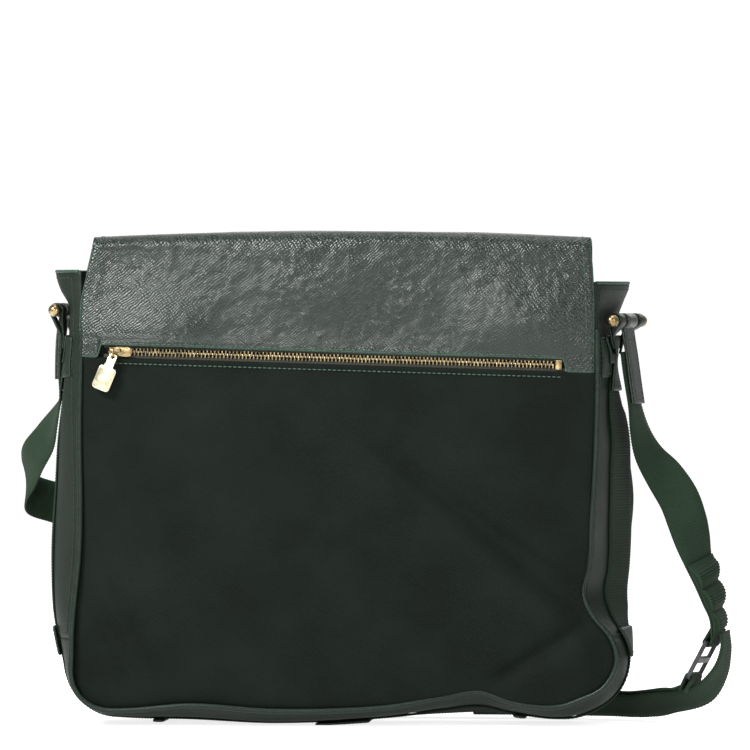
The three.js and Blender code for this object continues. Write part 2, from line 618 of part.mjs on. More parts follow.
function buildFlap() {
  const half = FLAP_HALF_WIDTH;
  const topY = [FLAP_REAR_Y + REAR_FOLD_CLEARANCE, FLAP_FRONT_Y - FOLD_CLEARANCE];
  const leatherZ = [FLAP_TOP_Z - 1, FLAP_TOP_Z + 1.4];
  add('flap_top', 'grained_leather', block(-half, half, ...topY, ...leatherZ));
  const liningHalf = half - 4;
  add('flap_top_lining', 'lining', block(-liningHalf, liningHalf, -35, 45.5, leatherZ[0] - 1.1, leatherZ[0] - GAP));

  const frontY = [FLAP_FRONT_Y - 1.3, FLAP_FRONT_Y + 1.1];
  const frontTopZ = FLAP_TOP_Z - FOLD_CLEARANCE;
  const front = roundedRectangle(-half, half, FLAP_LOW_Z, frontTopZ, FLAP_CORNER_RADIUS);
  const squareTop = block(-half, half, ...frontY, frontTopZ - 2 * FLAP_CORNER_RADIUS, frontTopZ);
  add('flap_front', 'grained_leather', joined(plate(front, ...frontY), squareTop));
  const lining = roundedRectangle(-liningHalf, liningHalf, FLAP_LOW_Z + 4, 345, FLAP_CORNER_RADIUS - 4);
  add('flap_front_lining', 'lining', plate(lining, frontY[0] - 1.1, frontY[0] - GAP));

  const capY = frontY[0] - 1.1 - GAP;
  const baseY = SEAM_Y + PANEL_THICKNESS / 2 + GAP + 1.4 + GAP;
  for (const [name, side] of [['left', -1], ['right', 1]]) {
    add(`snap_base_${name}`, 'brass', disc(side * SNAP_X, SNAP_Z, baseY, baseY + 1.7));
    add(`snap_cap_${name}`, 'brass', disc(side * SNAP_X, SNAP_Z, baseY + 1.7 + GAP, capY));
  }
}

// ---- Shoulder strap ----------------------------------------------------------------------------------------

// A strap's route: points of its middle line, each with the direction of its width there.
const SHORT_ROUTE = [
  { at: [208.3, 0, 270], wide: [0.276, 0.961, 0] },
  { at: [210, 0, 256], wide: [0.276, 0.961, 0] },
  { at: [212, 0, 243], wide: [0.276, 0.961, 0] },
  { at: [214, 0, 230], wide: [0.276, 0.961, 0] },
  { at: [218, 0, 211], wide: [0.45, 0.88, 0.08] },
  { at: [224.5, -1, 195], wide: [0.65, 0.7, 0.25] },
  { at: [236, -2, 179], wide: [0.82, 0.35, 0.42] },
  { at: [246, -2, 163], wide: [0.9, 0.15, 0.4] },
  { at: [251.5, 0, 148], wide: [0.93, 0.25, 0.3] },
  { at: [255.5, 3, 134], wide: [0.85, 0.48, 0.22] },
  { at: [259, 6, 121], wide: [0.68, 0.7, 0.2] },
  { at: [263.5, 9, 106], wide: [0.5, 0.85, 0.17] },
  { at: [268.5, 11, 90], wide: [0.38, 0.92, 0.12] },
  { at: [271.5, 12, 76], wide: [0.2, 0.98, 0.02] },
  { at: [271.3, 13, 63], wide: [0.12, 0.98, -0.05] },
];
const LONG_ROUTE = [
  { at: [253.6, 16, 29], wide: [0.12, 0.97, -0.2] },
  { at: [246, 22, 22], wide: [0.3, 0.86, -0.4] },
  { at: [234, 31, 16.5], wide: [0.42, 0.72, -0.52] },
  { at: [216, 46, 13.2], wide: [0.28, 0.78, -0.55] },
  { at: [190, 61, 13], wide: [0.12, 0.82, -0.57] },
  { at: [150, 73, 12.8], wide: [0.04, 0.82, -0.57] },
  { at: [90, 79, 12.7], wide: [0, 0.82, -0.57] },
  { at: [20, 79, 9.9], wide: [0, 0.82, -0.57] },
  { at: [-60, 79, 9.9], wide: [0, 0.82, -0.57] },
  { at: [-108, 77, 13], wide: [-0.1, 0.78, -0.62] },
  { at: [-136, 74, 32], wide: [-0.5, 0.6, -0.6] },
  { at: [-150, 71, 60], wide: [-0.85, 0.3, -0.4] },
  { at: [-160, 69, 90], wide: [-0.95, 0.1, -0.25] },
  { at: [-168, 68, 117], wide: [-0.9, 0.1, -0.4] },
  { at: [-180, 67, 139], wide: [-0.65, 0.1, -0.75] },
  { at: [-198, 65, 152], wide: [-0.5, 0.05, -0.86] },
  { at: [-216, 61, 158], wide: [-0.45, -0.05, -0.89] },
  { at: [-229.5, 53, 163], wide: [-0.3, -0.3, -0.9] },
  { at: [-233.5, 41, 170.5], wide: [0, -0.4, -0.9] },
  { at: [-231, 29, 182], wide: [0.35, -0.4, -0.85] },
  { at: [-227, 20, 192], wide: [0.5, -0.5, -0.7] },
  { at: [-217, 11, 206], wide: [0.5, -0.7, -0.5] },
  { at: [-209.5, 4, 221], wide: [0.3, -0.93, -0.2] },
  { at: [-203.8, 0.5, 236], wide: [0.05, -1, -0.05] },
  { at: [-202.2, 0, 250], wide: [-0.1, -1, 0] },
  { at: [-201.9, 0, 260], wide: [-0.105, -0.995, 0] },
  { at: [-201.7, 0, 270], wide: [-0.105, -0.995, 0] },
];
const TAIL_START = [
  { at: [279, 10, 66], wide: [0.2, 0.97, -0.05] },
  { at: [279.5, 11, 54], wide: [0.22, 0.96, -0.12] },
  { at: [275, 13, 37.5], wide: [0.3, 0.92, -0.25] },
  { at: [261.5, 19, 20.5], wide: [0.42, 0.8, -0.42] },
];
const TAIL_OFFSET = 3.6; // further on, the tail lies this far outside the long strap
const TAIL_FOLLOWS = [2, 7]; // the long route's points that it follows

function strap(route, thickness, stepLength) {
  const line = new THREE.CatmullRomCurve3(route.map(({ at }) => new THREE.Vector3(...at)), false, 'centripetal');
  const wides = new THREE.CatmullRomCurve3(route.map(({ wide }) => new THREE.Vector3(...wide).normalize()));
  const steps = Math.ceil(line.getLength() / stepLength);
  const frames = [];
  for (let i = 0; i <= steps; i += 1) {
    const t = i / steps;
    const along = line.getTangent(t);
    const right = wides.getPoint(t);
    right.addScaledVector(along, -right.dot(along)).normalize();
    frames.push({ origin: line.getPoint(t), right, up: new THREE.Vector3().crossVectors(along, right) });
  }
  const half = thickness / 2;
  const outline = [[-webHalf, -half], [webHalf, -half], [webHalf, half], [-webHalf, half]];
  return loft(frames, outline);
}

function buildStrap() {
  const step = 9;
  const twistedStep = 5;
  add('strap_short', 'webbing', strap(SHORT_ROUTE, WEBBING, twistedStep));
  add('strap_long', 'webbing', strap(LONG_ROUTE, WEBBING, step));
  const beside = LONG_ROUTE.slice(...TAIL_FOLLOWS).map(({ at: [x, y, z], wide }) => {
    return { at: [x + 0.3 * TAIL_OFFSET, y - 0.5 * TAIL_OFFSET, z - 0.8 * TAIL_OFFSET], wide };
  });
  add('strap_tail', 'webbing', strap([...TAIL_START, ...beside], WEBBING, twistedStep));

  const buckle = roundedRectangle(-18.5, 18.5, -15.5, 15.5, 3);
  for (const [low, high] of [[-12.7, -2.4], [2.4, 12.7]]) {
    const slot = new THREE.Path(roundedRectangle(-15.6, 15.6, low, high, 0.8).getPoints(3).reverse());
    buckle.holes.push(slot);
  }
  add('strap_buckle', 'dark_metal', plate(buckle, -1.2, 1.2, 3)
    .applyMatrix4(buckleFrame()));
}

// The buckle lies between the two straps, its long side along their width.
function buckleFrame() {
  const top = new THREE.Vector3(...SHORT_ROUTE.at(-1).at);
  const low = new THREE.Vector3(...LONG_ROUTE[0].at);
  const upward = top.clone().sub(low).normalize();
  const long = new THREE.Vector3(...LONG_ROUTE[0].wide);
  long.addScaledVector(upward, -long.dot(upward)).normalize();
  const thick = new THREE.Vector3().crossVectors(upward, long);
  const frame = new THREE.Matrix4().makeBasis(long, thick, upward);
  return frame.setPosition(top.add(low).multiplyScalar(0.5));
}

buildPanels();
buildPiping();
buildLining();
buildGussets();
buildSideWebbing();
buildKeepers();
buildBars();
buildAnchors();
buildTabs();
buildZip();
buildFlap();
buildStrap();

// The origin is below the middle of the box round everything but the loose strap, at the height of its bottom.
const whole = new THREE.Group();
whole.add(bag);
whole.updateMatrixWorld(true);
const box = new THREE.Box3();
const loose = ['strap_short', 'strap_long', 'strap_tail', 'strap_buckle'];
bag.traverse((piece) => {
  if (piece.isMesh && !loose.includes(piece.name)) {
    box.expandByObject(piece, true);
  }
});
const middle = box.getCenter(new THREE.Vector3());
bag.position.set(-middle.x, -middle.y, -box.min.z);

export default whole;
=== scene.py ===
import math

import bmesh
import bpy
import numpy as np
from mathutils import Matrix, Vector


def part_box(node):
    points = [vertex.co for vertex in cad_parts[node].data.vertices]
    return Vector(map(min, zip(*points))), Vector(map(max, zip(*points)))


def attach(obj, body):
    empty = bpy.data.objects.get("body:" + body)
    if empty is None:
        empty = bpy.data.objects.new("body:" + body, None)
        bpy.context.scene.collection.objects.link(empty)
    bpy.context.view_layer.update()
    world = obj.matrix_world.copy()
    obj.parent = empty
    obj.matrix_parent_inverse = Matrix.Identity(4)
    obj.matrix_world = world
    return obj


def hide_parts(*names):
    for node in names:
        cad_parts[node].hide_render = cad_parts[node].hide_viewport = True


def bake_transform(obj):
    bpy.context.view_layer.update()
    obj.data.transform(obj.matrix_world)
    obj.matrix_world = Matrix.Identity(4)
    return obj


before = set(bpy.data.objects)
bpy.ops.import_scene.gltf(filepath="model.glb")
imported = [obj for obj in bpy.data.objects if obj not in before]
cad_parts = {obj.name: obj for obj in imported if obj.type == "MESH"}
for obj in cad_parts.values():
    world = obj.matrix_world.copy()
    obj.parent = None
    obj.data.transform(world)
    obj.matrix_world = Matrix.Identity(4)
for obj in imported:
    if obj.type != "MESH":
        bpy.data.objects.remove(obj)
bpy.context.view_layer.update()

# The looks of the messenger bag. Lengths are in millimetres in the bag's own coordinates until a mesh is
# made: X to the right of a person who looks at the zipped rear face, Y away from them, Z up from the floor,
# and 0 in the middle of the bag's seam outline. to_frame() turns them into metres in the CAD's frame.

# ---- Driving dimensions, as in the CAD ---------------------------------------------------------------------

TOP_HALF_WIDTH = 187
LOW_HALF_WIDTH = 193
CORNER_RADIUS = 30
SEAM_BOTTOM = 12
GUSSET_TOP = 328
SEAM_Y = 44
PANEL_THICKNESS = 2.4
PIPING_RADIUS = 2.0
WEBBING = 1.6
WEBBING_WIDTH = 30
GUSSET_HALF_DEPTH = 43
FLAP_TOP_Z = 351
FLAP_LOW_Z = 62
FLAP_CORNER_RADIUS = 35
FLAP_FRONT_Y = 54
PANEL_INSET = 1.4  # the panels' edges lie this far inside the seam
BOTTOM_BOW = 7.9  # the gusset's leather stands this far below the seam along the bottom
WALL = 38  # the linings of the back and the front lie this far from the middle
LINING_INSET = 6.2

CORNER_Z = SEAM_BOTTOM + CORNER_RADIUS
CORNER_X = LOW_HALF_WIDTH - CORNER_RADIUS
PANEL_OUT = SEAM_Y + PANEL_THICKNESS / 2

# The CAD's origin is in the middle of the box round the part. The back panel's middle, its rear face and the
# underside of the flap's top say where the bag's own origin is in it.
_panel_low, _panel_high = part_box("back_panel")
_flap_low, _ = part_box("flap_top")
ORIGIN = np.array([
    (_panel_low.x + _panel_high.x) / 2,
    _panel_low.y + PANEL_OUT / 1000,
    _flap_low.z - (FLAP_TOP_Z - 1) / 1000,
])


def to_frame(points):
    return np.asarray(points, float) / 1000 + ORIGIN


# ---- Numbers along lines -----------------------------------------------------------------------------------

def keyed(keys, at):
    """A smooth curve through (place, value) pairs, read at many places."""
    places = np.array([key[0] for key in keys], float)
    values = np.array([key[1] for key in keys], float)
    slopes = np.gradient(values, places)
    slopes[0] = slopes[-1] = 0
    at = np.clip(np.asarray(at, float), places[0], places[-1])
    i = np.clip(np.searchsorted(places, at, side="right") - 1, 0, len(places) - 2)
    span = places[i + 1] - places[i]
    t = (at - places[i]) / span
    return (values[i] * (2 * t**3 - 3 * t**2 + 1) + values[i + 1] * (3 * t**2 - 2 * t**3)
            + slopes[i] * span * (t**3 - 2 * t**2 + t) + slopes[i + 1] * span * (t**3 - t**2))


def ripple(x, y, size, seed=0):
    """Soft unevenness between about -1 and 1, with bumps of about the given size."""
    total = np.zeros(np.broadcast(x, y).shape)
    for k in range(6):
        angle = 2.4 * k + 0.7 * seed
        pitch = size * (1.6 - 0.16 * k)
        total = total + np.sin((x * math.cos(angle) + y * math.sin(angle)) * 2 * math.pi / pitch
                               + 1.9 * k + 2.3 * seed)
    return total / 3.2


def bump_along(distance, width):
    return np.exp(-(distance / width) ** 2)


def along_line(x, z, start, end):
    """How far along the line from start to end each point is (0 to 1), and how far to its left, in mm."""
    sx, sz = start
    dx, dz = end[0] - sx, end[1] - sz
    length = math.hypot(dx, dz)
    t = ((x - sx) * dx + (z - sz) * dz) / length**2
    left = (-(x - sx) * dz + (z - sz) * dx) / length
    return t, left


def ease(t):
    t = np.clip(t, 0, 1)
    return t * t * (3 - 2 * t)


# ---- Meshes ------------------------------------------------------------------------------------------------

def mesh_piece(name, points, faces, looks, slots=None, uv=None, sharp_angle=None):
    """A piece from points in the bag's coordinates. uv is in metres, one pair for each point."""
    mesh = bpy.data.meshes.new(name)
    mesh.from_pydata(to_frame(points).tolist(), [], faces)
    for look in looks if isinstance(looks, (list, tuple)) else [looks]:
        mesh.materials.append(look)
    if slots is not None:
        mesh.polygons.foreach_set("material_index", np.asarray(slots, np.int32))
    if uv is not None:
        layer = mesh.uv_layers.new(name="UVMap")
        corner = np.zeros(len(mesh.loops), np.int32)
        mesh.loops.foreach_get("vertex_index", corner)
        layer.data.foreach_set("uv", np.asarray(uv, np.float32)[corner].ravel())
    work = bmesh.new()
    work.from_mesh(mesh)
    bmesh.ops.recalc_face_normals(work, faces=work.faces)
    work.to_mesh(mesh)
    work.free()
    mesh.polygons.foreach_set("use_smooth", np.ones(len(mesh.polygons), bool))
    if sharp_angle is not None:
        mesh.set_sharp_from_angle(angle=math.radians(sharp_angle))
    mesh.update()
    piece = bpy.data.objects.new(name, mesh)
    bpy.context.scene.collection.objects.link(piece)
    return piece


def grid_faces(rows, columns, start=0):
    r, c = np.meshgrid(np.arange(rows - 1), np.arange(columns - 1), indexing="ij")
    a = (start + r * columns + c).ravel()
    return np.stack([a, a + 1, a + columns + 1, a + columns], 1)


def border_of(rows, columns):
    top = [(0, j) for j in range(columns)]
    right = [(i, columns - 1) for i in range(1, rows)]
    bottom = [(rows - 1, j) for j in range(columns - 2, -1, -1)]
    left = [(i, 0) for i in range(rows - 2, 0, -1)]
    return np.array(top + right + bottom + left)


def ring_faces(rings, sides):
    """The faces of a closed solid whose points are rings, one after the other, with a cap on each end."""
    faces = []
    for low in range(0, (rings - 1) * sides, sides):
        for k in range(sides):
            following = (k + 1) % sides
            faces.append((low + k, low + following, low + sides + following, low + sides + k))
    faces.append(tuple(range(sides))[::-1])
    faces.append(tuple(range((rings - 1) * sides, rings * sides)))
    return faces


def copies(name, shape, faces, places, look, sharp_angle=None):
    """One small shape at many places; each place is (origin, right, forward, up)."""
    points, all_faces = [], []
    for k, (origin, right, forward, up) in enumerate(places):
        points.append(origin + shape[:, :1] * right + shape[:, 1:2] * forward + shape[:, 2:] * up)
        all_faces += [tuple(k * len(shape) + v for v in face) for face in faces]
    return mesh_piece(name, np.concatenate(points), all_faces, look, sharp_angle=sharp_angle)


def slab(name, outer, inner, looks, uv, round_edge=0.4, inner_look=None, sharp_angle=None):
    """A closed sheet between two grids of points, with a rounded edge all round."""
    rows, columns = outer.shape[:2]
    count = rows * columns
    border = border_of(rows, columns)
    flat = border[:, 0] * columns + border[:, 1]
    near = np.clip(border, 1, [rows - 2, columns - 2])
    near_flat = near[:, 0] * columns + near[:, 1]
    a, b = outer.reshape(-1, 3), inner.reshape(-1, 3)
    thick = np.linalg.norm(a - b, axis=1)[flat][:, None]
    away = (a + b)[flat] - (a + b)[near_flat]
    away /= np.maximum(np.linalg.norm(away, axis=1), 1e-9)[:, None]
    middle = (a + b)[flat] / 2 + away * thick * round_edge
    points = np.concatenate([a, b, middle])
    top = grid_faces(rows, columns)
    low = grid_faces(rows, columns, count)[:, ::-1]
    n = len(flat)
    k = np.arange(n)
    following = (k + 1) % n
    mid = 2 * count + k
    side_a = np.stack([flat[k], mid, 2 * count + following, flat[following]], 1)
    side_b = np.stack([mid, flat[k] + count, flat[following] + count, 2 * count + following], 1)
    faces = np.concatenate([top, low, side_a, side_b])
    uv = uv.reshape(-1, 2)
    uvs = np.concatenate([uv, uv, uv[flat]])
    slots = None
    if inner_look is not None:
        slots = np.concatenate([np.zeros(len(top)), np.ones(len(low)), np.zeros(2 * n)])
        looks = [looks, inner_look]
    return mesh_piece(name, points, faces.tolist(), looks, slots, uvs, sharp_angle)


def grid_normals(grid):
    across = np.gradient(grid, axis=1)
    down = np.gradient(grid, axis=0)
    normal = np.cross(across, down)
    return normal / np.maximum(np.linalg.norm(normal, axis=2), 1e-9)[..., None]


def sweep(name, origins, rights, ups, sections, look, closed=False, sharp_angle=None):
    """A solid along a line. sections is (rings, points, 2), in the frame of right and up at each ring."""
    n, k = sections.shape[:2]
    points = origins[:, None] + sections[..., :1] * rights[:, None] + sections[..., 1:] * ups[:, None]
    index = np.arange(n * k).reshape(n, k)
    if closed:
        index = np.concatenate([index, index[:1]])
    a, b = index[:-1], index[1:]
    faces = np.stack([a, np.roll(a, -1, 1), np.roll(b, -1, 1), b], -1).reshape(-1, 4).tolist()
    if not closed:
        faces += [index[0][::-1].tolist(), index[-1].tolist()]
    steps = np.linalg.norm(np.diff(origins, axis=0), axis=1)
    length = np.concatenate([[0], np.cumsum(steps)])
    uv = np.stack([sections[..., 0], np.broadcast_to(length[:, None], (n, k))], -1) / 1000
    return mesh_piece(name, points.reshape(-1, 3), faces, look, None, uv.reshape(-1, 2), sharp_angle)


def ring(radius_a, radius_b=None, sides=10):
    angle = np.arange(sides) * 2 * math.pi / sides
    return np.stack([radius_a * np.cos(angle), (radius_b or radius_a) * np.sin(angle)], 1)


def path_frames(points, hint, closed=False):
    """Rights and ups for a tube through points: right stays as near to the hint as it can."""
    if closed:
        along = np.roll(points, -1, 0) - np.roll(points, 1, 0)
    else:
        along = np.gradient(points, axis=0)
    along /= np.linalg.norm(along, axis=1)[:, None]
    hint = np.broadcast_to(np.asarray(hint, float), points.shape)
    right = hint - along * (hint * along).sum(1)[:, None]
    right /= np.linalg.norm(right, axis=1)[:, None]
    return right, np.cross(along, right)


def tube(name, points, radius, look, hint=(0, 1, 0), sides=10, closed=False, radius_b=None):
    points = np.asarray(points, float)
    right, up = path_frames(points, hint, closed)
    sections = np.repeat(ring(radius, radius_b, sides)[None], len(points), 0)
    return sweep(name, points, right, up, sections, look, closed=closed)


def spline(points, step):
    """A smooth line through points (rows of any length), resampled at about the given step."""
    points = np.asarray(points, float)
    chord = np.sqrt(np.linalg.norm(np.diff(points[:, :3], axis=0), axis=1))
    knots = np.concatenate([[0], np.cumsum(chord)])
    ends = np.concatenate([[2 * points[0] - points[1]], points, [2 * points[-1] - points[-2]]])
    u = np.concatenate([[knots[0] - chord[0]], knots, [knots[-1] + chord[-1]]])
    dense = []
    for i in range(1, len(points)):
        t = np.linspace(u[i], u[i + 1], 40, endpoint=False)[:, None]
        p = ends[i - 1:i + 3]
        k = u[i - 1:i + 3]
        a1 = ((k[1] - t) * p[0] + (t - k[0]) * p[1]) / (k[1] - k[0])
        a2 = ((k[2] - t) * p[1] + (t - k[1]) * p[2]) / (k[2] - k[1])
        a3 = ((k[3] - t) * p[2] + (t - k[2]) * p[3]) / (k[3] - k[2])
        b1 = ((k[2] - t) * a1 + (t - k[0]) * a2) / (k[2] - k[0])
        b2 = ((k[3] - t) * a2 + (t - k[1]) * a3) / (k[3] - k[1])
        dense.append(((k[2] - t) * b1 + (t - k[1]) * b2) / (k[2] - k[1]))
    dense = np.concatenate(dense + [points[-1:]])
    return resample(dense, step)


def resample(line, step):
    lengths = np.concatenate([[0], np.cumsum(np.linalg.norm(np.diff(line[:, :3], axis=0), axis=1))])
    count = max(2, int(round(lengths[-1] / step)) + 1)
    at = np.linspace(0, lengths[-1], count)
    return np.stack([np.interp(at, lengths, line[:, k]) for k in range(line.shape[1])], 1)


def stitches(name, lines, look, pitch=3.6, length=2.7, radius=0.42):
    """Rows of thread. Each line is (points, outward directions)."""
    rings = [(-0.5, 0.3), (-0.36, 0.85), (0, 1), (0.36, 0.85), (0.5, 0.3)]
    flatness = 0.75
    sides = 6
    angles = [2 * math.pi * k / sides for k in range(sides)]
    shape = np.array([(t * length, radius * r * math.cos(a), flatness * radius * r * math.sin(a))
                      for t, r in rings for a in angles])
    places = []
    for line, outward in lines:
        line = np.asarray(line, float)
        both = resample(np.concatenate([line, np.broadcast_to(outward, line.shape)], 1), pitch)
        here = (both[:-1, :3] + both[1:, :3]) / 2
        along = np.diff(both[:, :3], axis=0)
        along /= np.linalg.norm(along, axis=1)[:, None]
        up = (both[:-1, 3:] + both[1:, 3:]) / 2
        up -= along * (up * along).sum(1)[:, None]
        up /= np.linalg.norm(up, axis=1)[:, None]
        places += zip(here, along, np.cross(up, along), up)
    return copies(name, shape, ring_faces(len(rings), sides), places, look)


def flat_part(name, outlines, half, bevel, look, matrix):
    """A flat part with rounded rims: outlines in its own X and Y (holes after the first), then placed."""
    curve = bpy.data.curves.new(name + "_outline", "CURVE")
    curve.dimensions = "2D"
    curve.fill_mode = "BOTH"
    curve.extrude = half - bevel
    curve.bevel_depth = bevel
    curve.bevel_resolution = 2
    curve.offset = -bevel
    for outline in outlines:
        line = curve.splines.new("POLY")
        line.points.add(len(outline) - 1)
        for point, (x, y) in zip(line.points, outline):
            point.co = (x, y, 0, 1)
        line.use_cyclic_u = True
    source = bpy.data.objects.new(name + "_source", curve)
    bpy.context.scene.collection.objects.link(source)
    bpy.context.view_layer.update()
    mesh = bpy.data.meshes.new_from_object(source)
    bpy.data.objects.remove(source)
    mesh.transform(matrix)
    co = np.array([v.co for v in mesh.vertices])
    mesh.vertices.foreach_set("co", to_frame(co).ravel())
    work = bmesh.new()
    work.from_mesh(mesh)
    bmesh.ops.remove_doubles(work, verts=work.verts, dist=1e-6)
    bmesh.ops.recalc_face_normals(work, faces=work.faces)
    work.to_mesh(mesh)
    work.free()
    mesh.materials.clear()
    mesh.materials.append(look)
    mesh.polygons.foreach_set("use_smooth", np.ones(len(mesh.polygons), bool))
    mesh.set_sharp_from_angle(angle=math.radians(35))
    mesh.name = name
    piece = bpy.data.objects.new(name, mesh)
    bpy.context.scene.collection.objects.link(piece)
    return piece


def rounded_outline(x_low, x_high, y_low, y_high, radius, steps=6):
    points = []
    for cx, cy, start in ((x_high - radius, y_high - radius, 0), (x_low + radius, y_high - radius, 90),
                          (x_low + radius, y_low + radius, 180), (x_high - radius, y_low + radius, 270)):
        for k in range(steps + 1):
            angle = math.radians(start + 90 * k / steps)
            points.append((cx + radius * math.cos(angle), cy + radius * math.sin(angle)))
    return points


# ---- Materials ---------------------------------------------------------------------------------------------

def srgb(r, g, b):
    """Colour as a camera writes it, 0 to 255, turned into what the shader takes."""
    return tuple(((c / 255 + 0.055) / 1.055) ** 2.4 if c > 10 else c / 255 / 12.92 for c in (r, g, b)) + (1,)


class Look:
    """A material in the making: short names for its nodes."""

    def __init__(self, name):
        self.material = bpy.data.materials.new(name)
        self.material.use_nodes = True
        self.tree = self.material.node_tree
        self.shader = self.tree.nodes["Principled BSDF"]

    def node(self, kind, settings=None, **inputs):
        made = self.tree.nodes.new(kind)
        for key, value in (settings or {}).items():
            setattr(made, key, value)
        for key, value in inputs.items():
            self.put(made.inputs[key.replace("_", " ")], value)
        return made

    def put(self, socket, value):
        if isinstance(value, bpy.types.NodeSocket):
            self.tree.links.new(value, socket)
        else:
            socket.default_value = value

    def set(self, **inputs):
        for key, value in inputs.items():
            self.put(self.shader.inputs[key.replace("_", " ")], value)

    def math(self, operation, a, b=0.0):
        made = self.tree.nodes.new("ShaderNodeMath")
        made.operation = operation
        self.put(made.inputs[0], a)
        self.put(made.inputs[1], b)
        return made.outputs[0]

    def weighted(self, a, a_weight, b, b_weight):
        return self.math("ADD", self.math("MULTIPLY", a, a_weight), self.math("MULTIPLY", b, b_weight))

    def ramp(self, value, low, high, out_low=0.0, out_high=1.0):
        made = self.node("ShaderNodeMapRange", None, Value=value)
        limits = {"From Min": low, "From Max": high, "To Min": out_low, "To Max": out_high}
        for socket, number in limits.items():
            self.put(made.inputs[socket], number)
        return made.outputs["Result"]

    def mix(self, factor, a, b):
        made = self.tree.nodes.new("ShaderNodeMix")
        made.data_type = "RGBA"
        self.put(made.inputs["Factor"], factor)
        self.put(made.inputs[6], a)
        self.put(made.inputs[7], b)
        return made.outputs[2]

    def clouded(self, cloud, low, high, base, light, amount):
        """The base colour, which goes some way to the light one in soft patches."""
        return self.mix(self.ramp(cloud, low, high), base, self.mix(amount, base, light))

    def place(self, source="UV", scale=(1, 1, 1), turn=0.0):
        texture = self.node("ShaderNodeTexCoord")
        made = self.node("ShaderNodeMapping", None, Vector=texture.outputs[source])
        made.inputs["Scale"].default_value = scale
        made.inputs["Rotation"].default_value = (0, 0, math.radians(turn))
        return made.outputs[0]

    def noise(self, place, scale, detail=2.0, rough=0.5):
        made = self.node("ShaderNodeTexNoise", None, Vector=place, Scale=scale, Detail=detail,
                         Roughness=rough)
        return made.outputs["Fac"]

    def wave(self, place, scale, distortion, detail_scale):
        settings = {"wave_type": "BANDS", "bands_direction": "X", "wave_profile": "SIN"}
        made = self.node("ShaderNodeTexWave", settings, Vector=place, Scale=scale, Distortion=distortion,
                         Detail=1.0, Detail_Scale=detail_scale)
        return made.outputs["Fac"]

    def bump(self, height, distance, strength=1.0, under=None):
        made = self.node("ShaderNodeBump", None, Height=height, Distance=distance, Strength=strength)
        if under is not None:
            self.put(made.inputs["Normal"], under)
        return made.outputs[0]


WAVES_PER_UNIT = 20 / (2 * math.pi)  # a wave texture of scale 1 has this many bands in one unit


def bands(pitch_mm):
    return 1000 / pitch_mm / WAVES_PER_UNIT


def twill_look():
    look = Look("dark_green_twill")
    place = look.place()
    diagonal = look.wave(look.place(turn=-58), bands(1.35), 1.8, 3)
    yarn = look.noise(look.place(scale=(1, 0.35, 1)), 1100, 2, 0.6)
    cloud = look.noise(place, 16, 3, 0.55)
    speck = look.weighted(diagonal, 0.5, yarn, 0.5)
    base = look.mix(look.ramp(speck, 0.25, 0.75), srgb(3, 6, 4), srgb(17, 24, 19))
    toned = look.clouded(cloud, 0.35, 0.75, base, srgb(31, 42, 35), 0.3)
    look.set(Base_Color=toned, Roughness=0.75, Normal=look.bump(speck, 0.0003, 0.7))
    look.set(Specular_IOR_Level=0.1, Sheen_Weight=0.03)
    return look.material


def grained_leather_look():
    """Cross-grained leather: short wavy ridges in two directions over a glossy dark skin."""
    look = Look("cross_grained_leather")
    place = look.place()
    one = look.wave(look.place(turn=52), bands(1.75), 7.0, 0.7)
    two = look.wave(look.place(turn=-40), bands(2.2), 6.0, 1.2)
    pores = look.noise(look.place(scale=(0.6, 1.4, 1), turn=20), 900, 2, 0.6)
    grain = look.weighted(one, 0.7, two, 0.4)
    height = look.math("ADD", grain, look.math("MULTIPLY", pores, 0.55))
    cloud = look.noise(place, 14, 3, 0.6)
    deep = look.mix(look.ramp(height, 0.35, 1.2), srgb(2, 12, 6), srgb(17, 33, 23))
    colour = look.clouded(cloud, 0.35, 0.75, deep, srgb(30, 41, 35), 0.2)
    rough = look.ramp(look.math("ADD", cloud, look.math("MULTIPLY", pores, 0.3)), 0.3, 1.0, 0.22, 0.34)
    soft = look.noise(place, 34, 2, 0.5)
    under = look.bump(soft, 0.0035, 0.5)
    look.set(Base_Color=colour, Roughness=rough, Normal=look.bump(height, 0.0003, 0.9, under))
    look.set(Specular_IOR_Level=0.55)
    return look.material


def smooth_leather_look(name, dark, light, rough_low, rough_high):
    look = Look(name)
    place = look.place()
    cells = look.node("ShaderNodeTexVoronoi", {"feature": "DISTANCE_TO_EDGE"}, Vector=place, Scale=620.0)
    pebble = look.ramp(cells.outputs["Distance"], 0.0, 0.22)
    pores = look.noise(place, 900, 2, 0.6)
    cloud = look.noise(place, 22, 3, 0.6)
    height = look.math("ADD", look.math("MULTIPLY", pebble, 0.5), pores)
    base = look.mix(look.ramp(height, 0.4, 1.1), dark, light)
    colour = look.clouded(cloud, 0.35, 0.75, base, light, 0.4)
    rough = look.ramp(cloud, 0.3, 0.75, rough_low, rough_high)
    look.set(Base_Color=colour, Roughness=rough, Normal=look.bump(height, 0.00025, 0.45))
    look.set(Specular_IOR_Level=0.3)
    return look.material


def webbing_look(name, dark, light):
    look = Look(name)
    along = look.wave(look.place(), bands(1.1), 1.0, 3)
    fuzz = look.noise(look.place(), 1700, 2, 0.6)
    cloud = look.noise(look.place(), 30, 2, 0.5)
    yarn = look.weighted(along, 0.4, fuzz, 0.6)
    base = look.mix(look.ramp(yarn, 0.25, 0.8), dark, light)
    colour = look.clouded(cloud, 0.3, 0.7, base, light, 0.35)
    look.set(Base_Color=colour, Roughness=0.78, Normal=look.bump(yarn, 0.0003, 0.7))
    look.set(Specular_IOR_Level=0.15, Sheen_Weight=0.05)
    return look.material


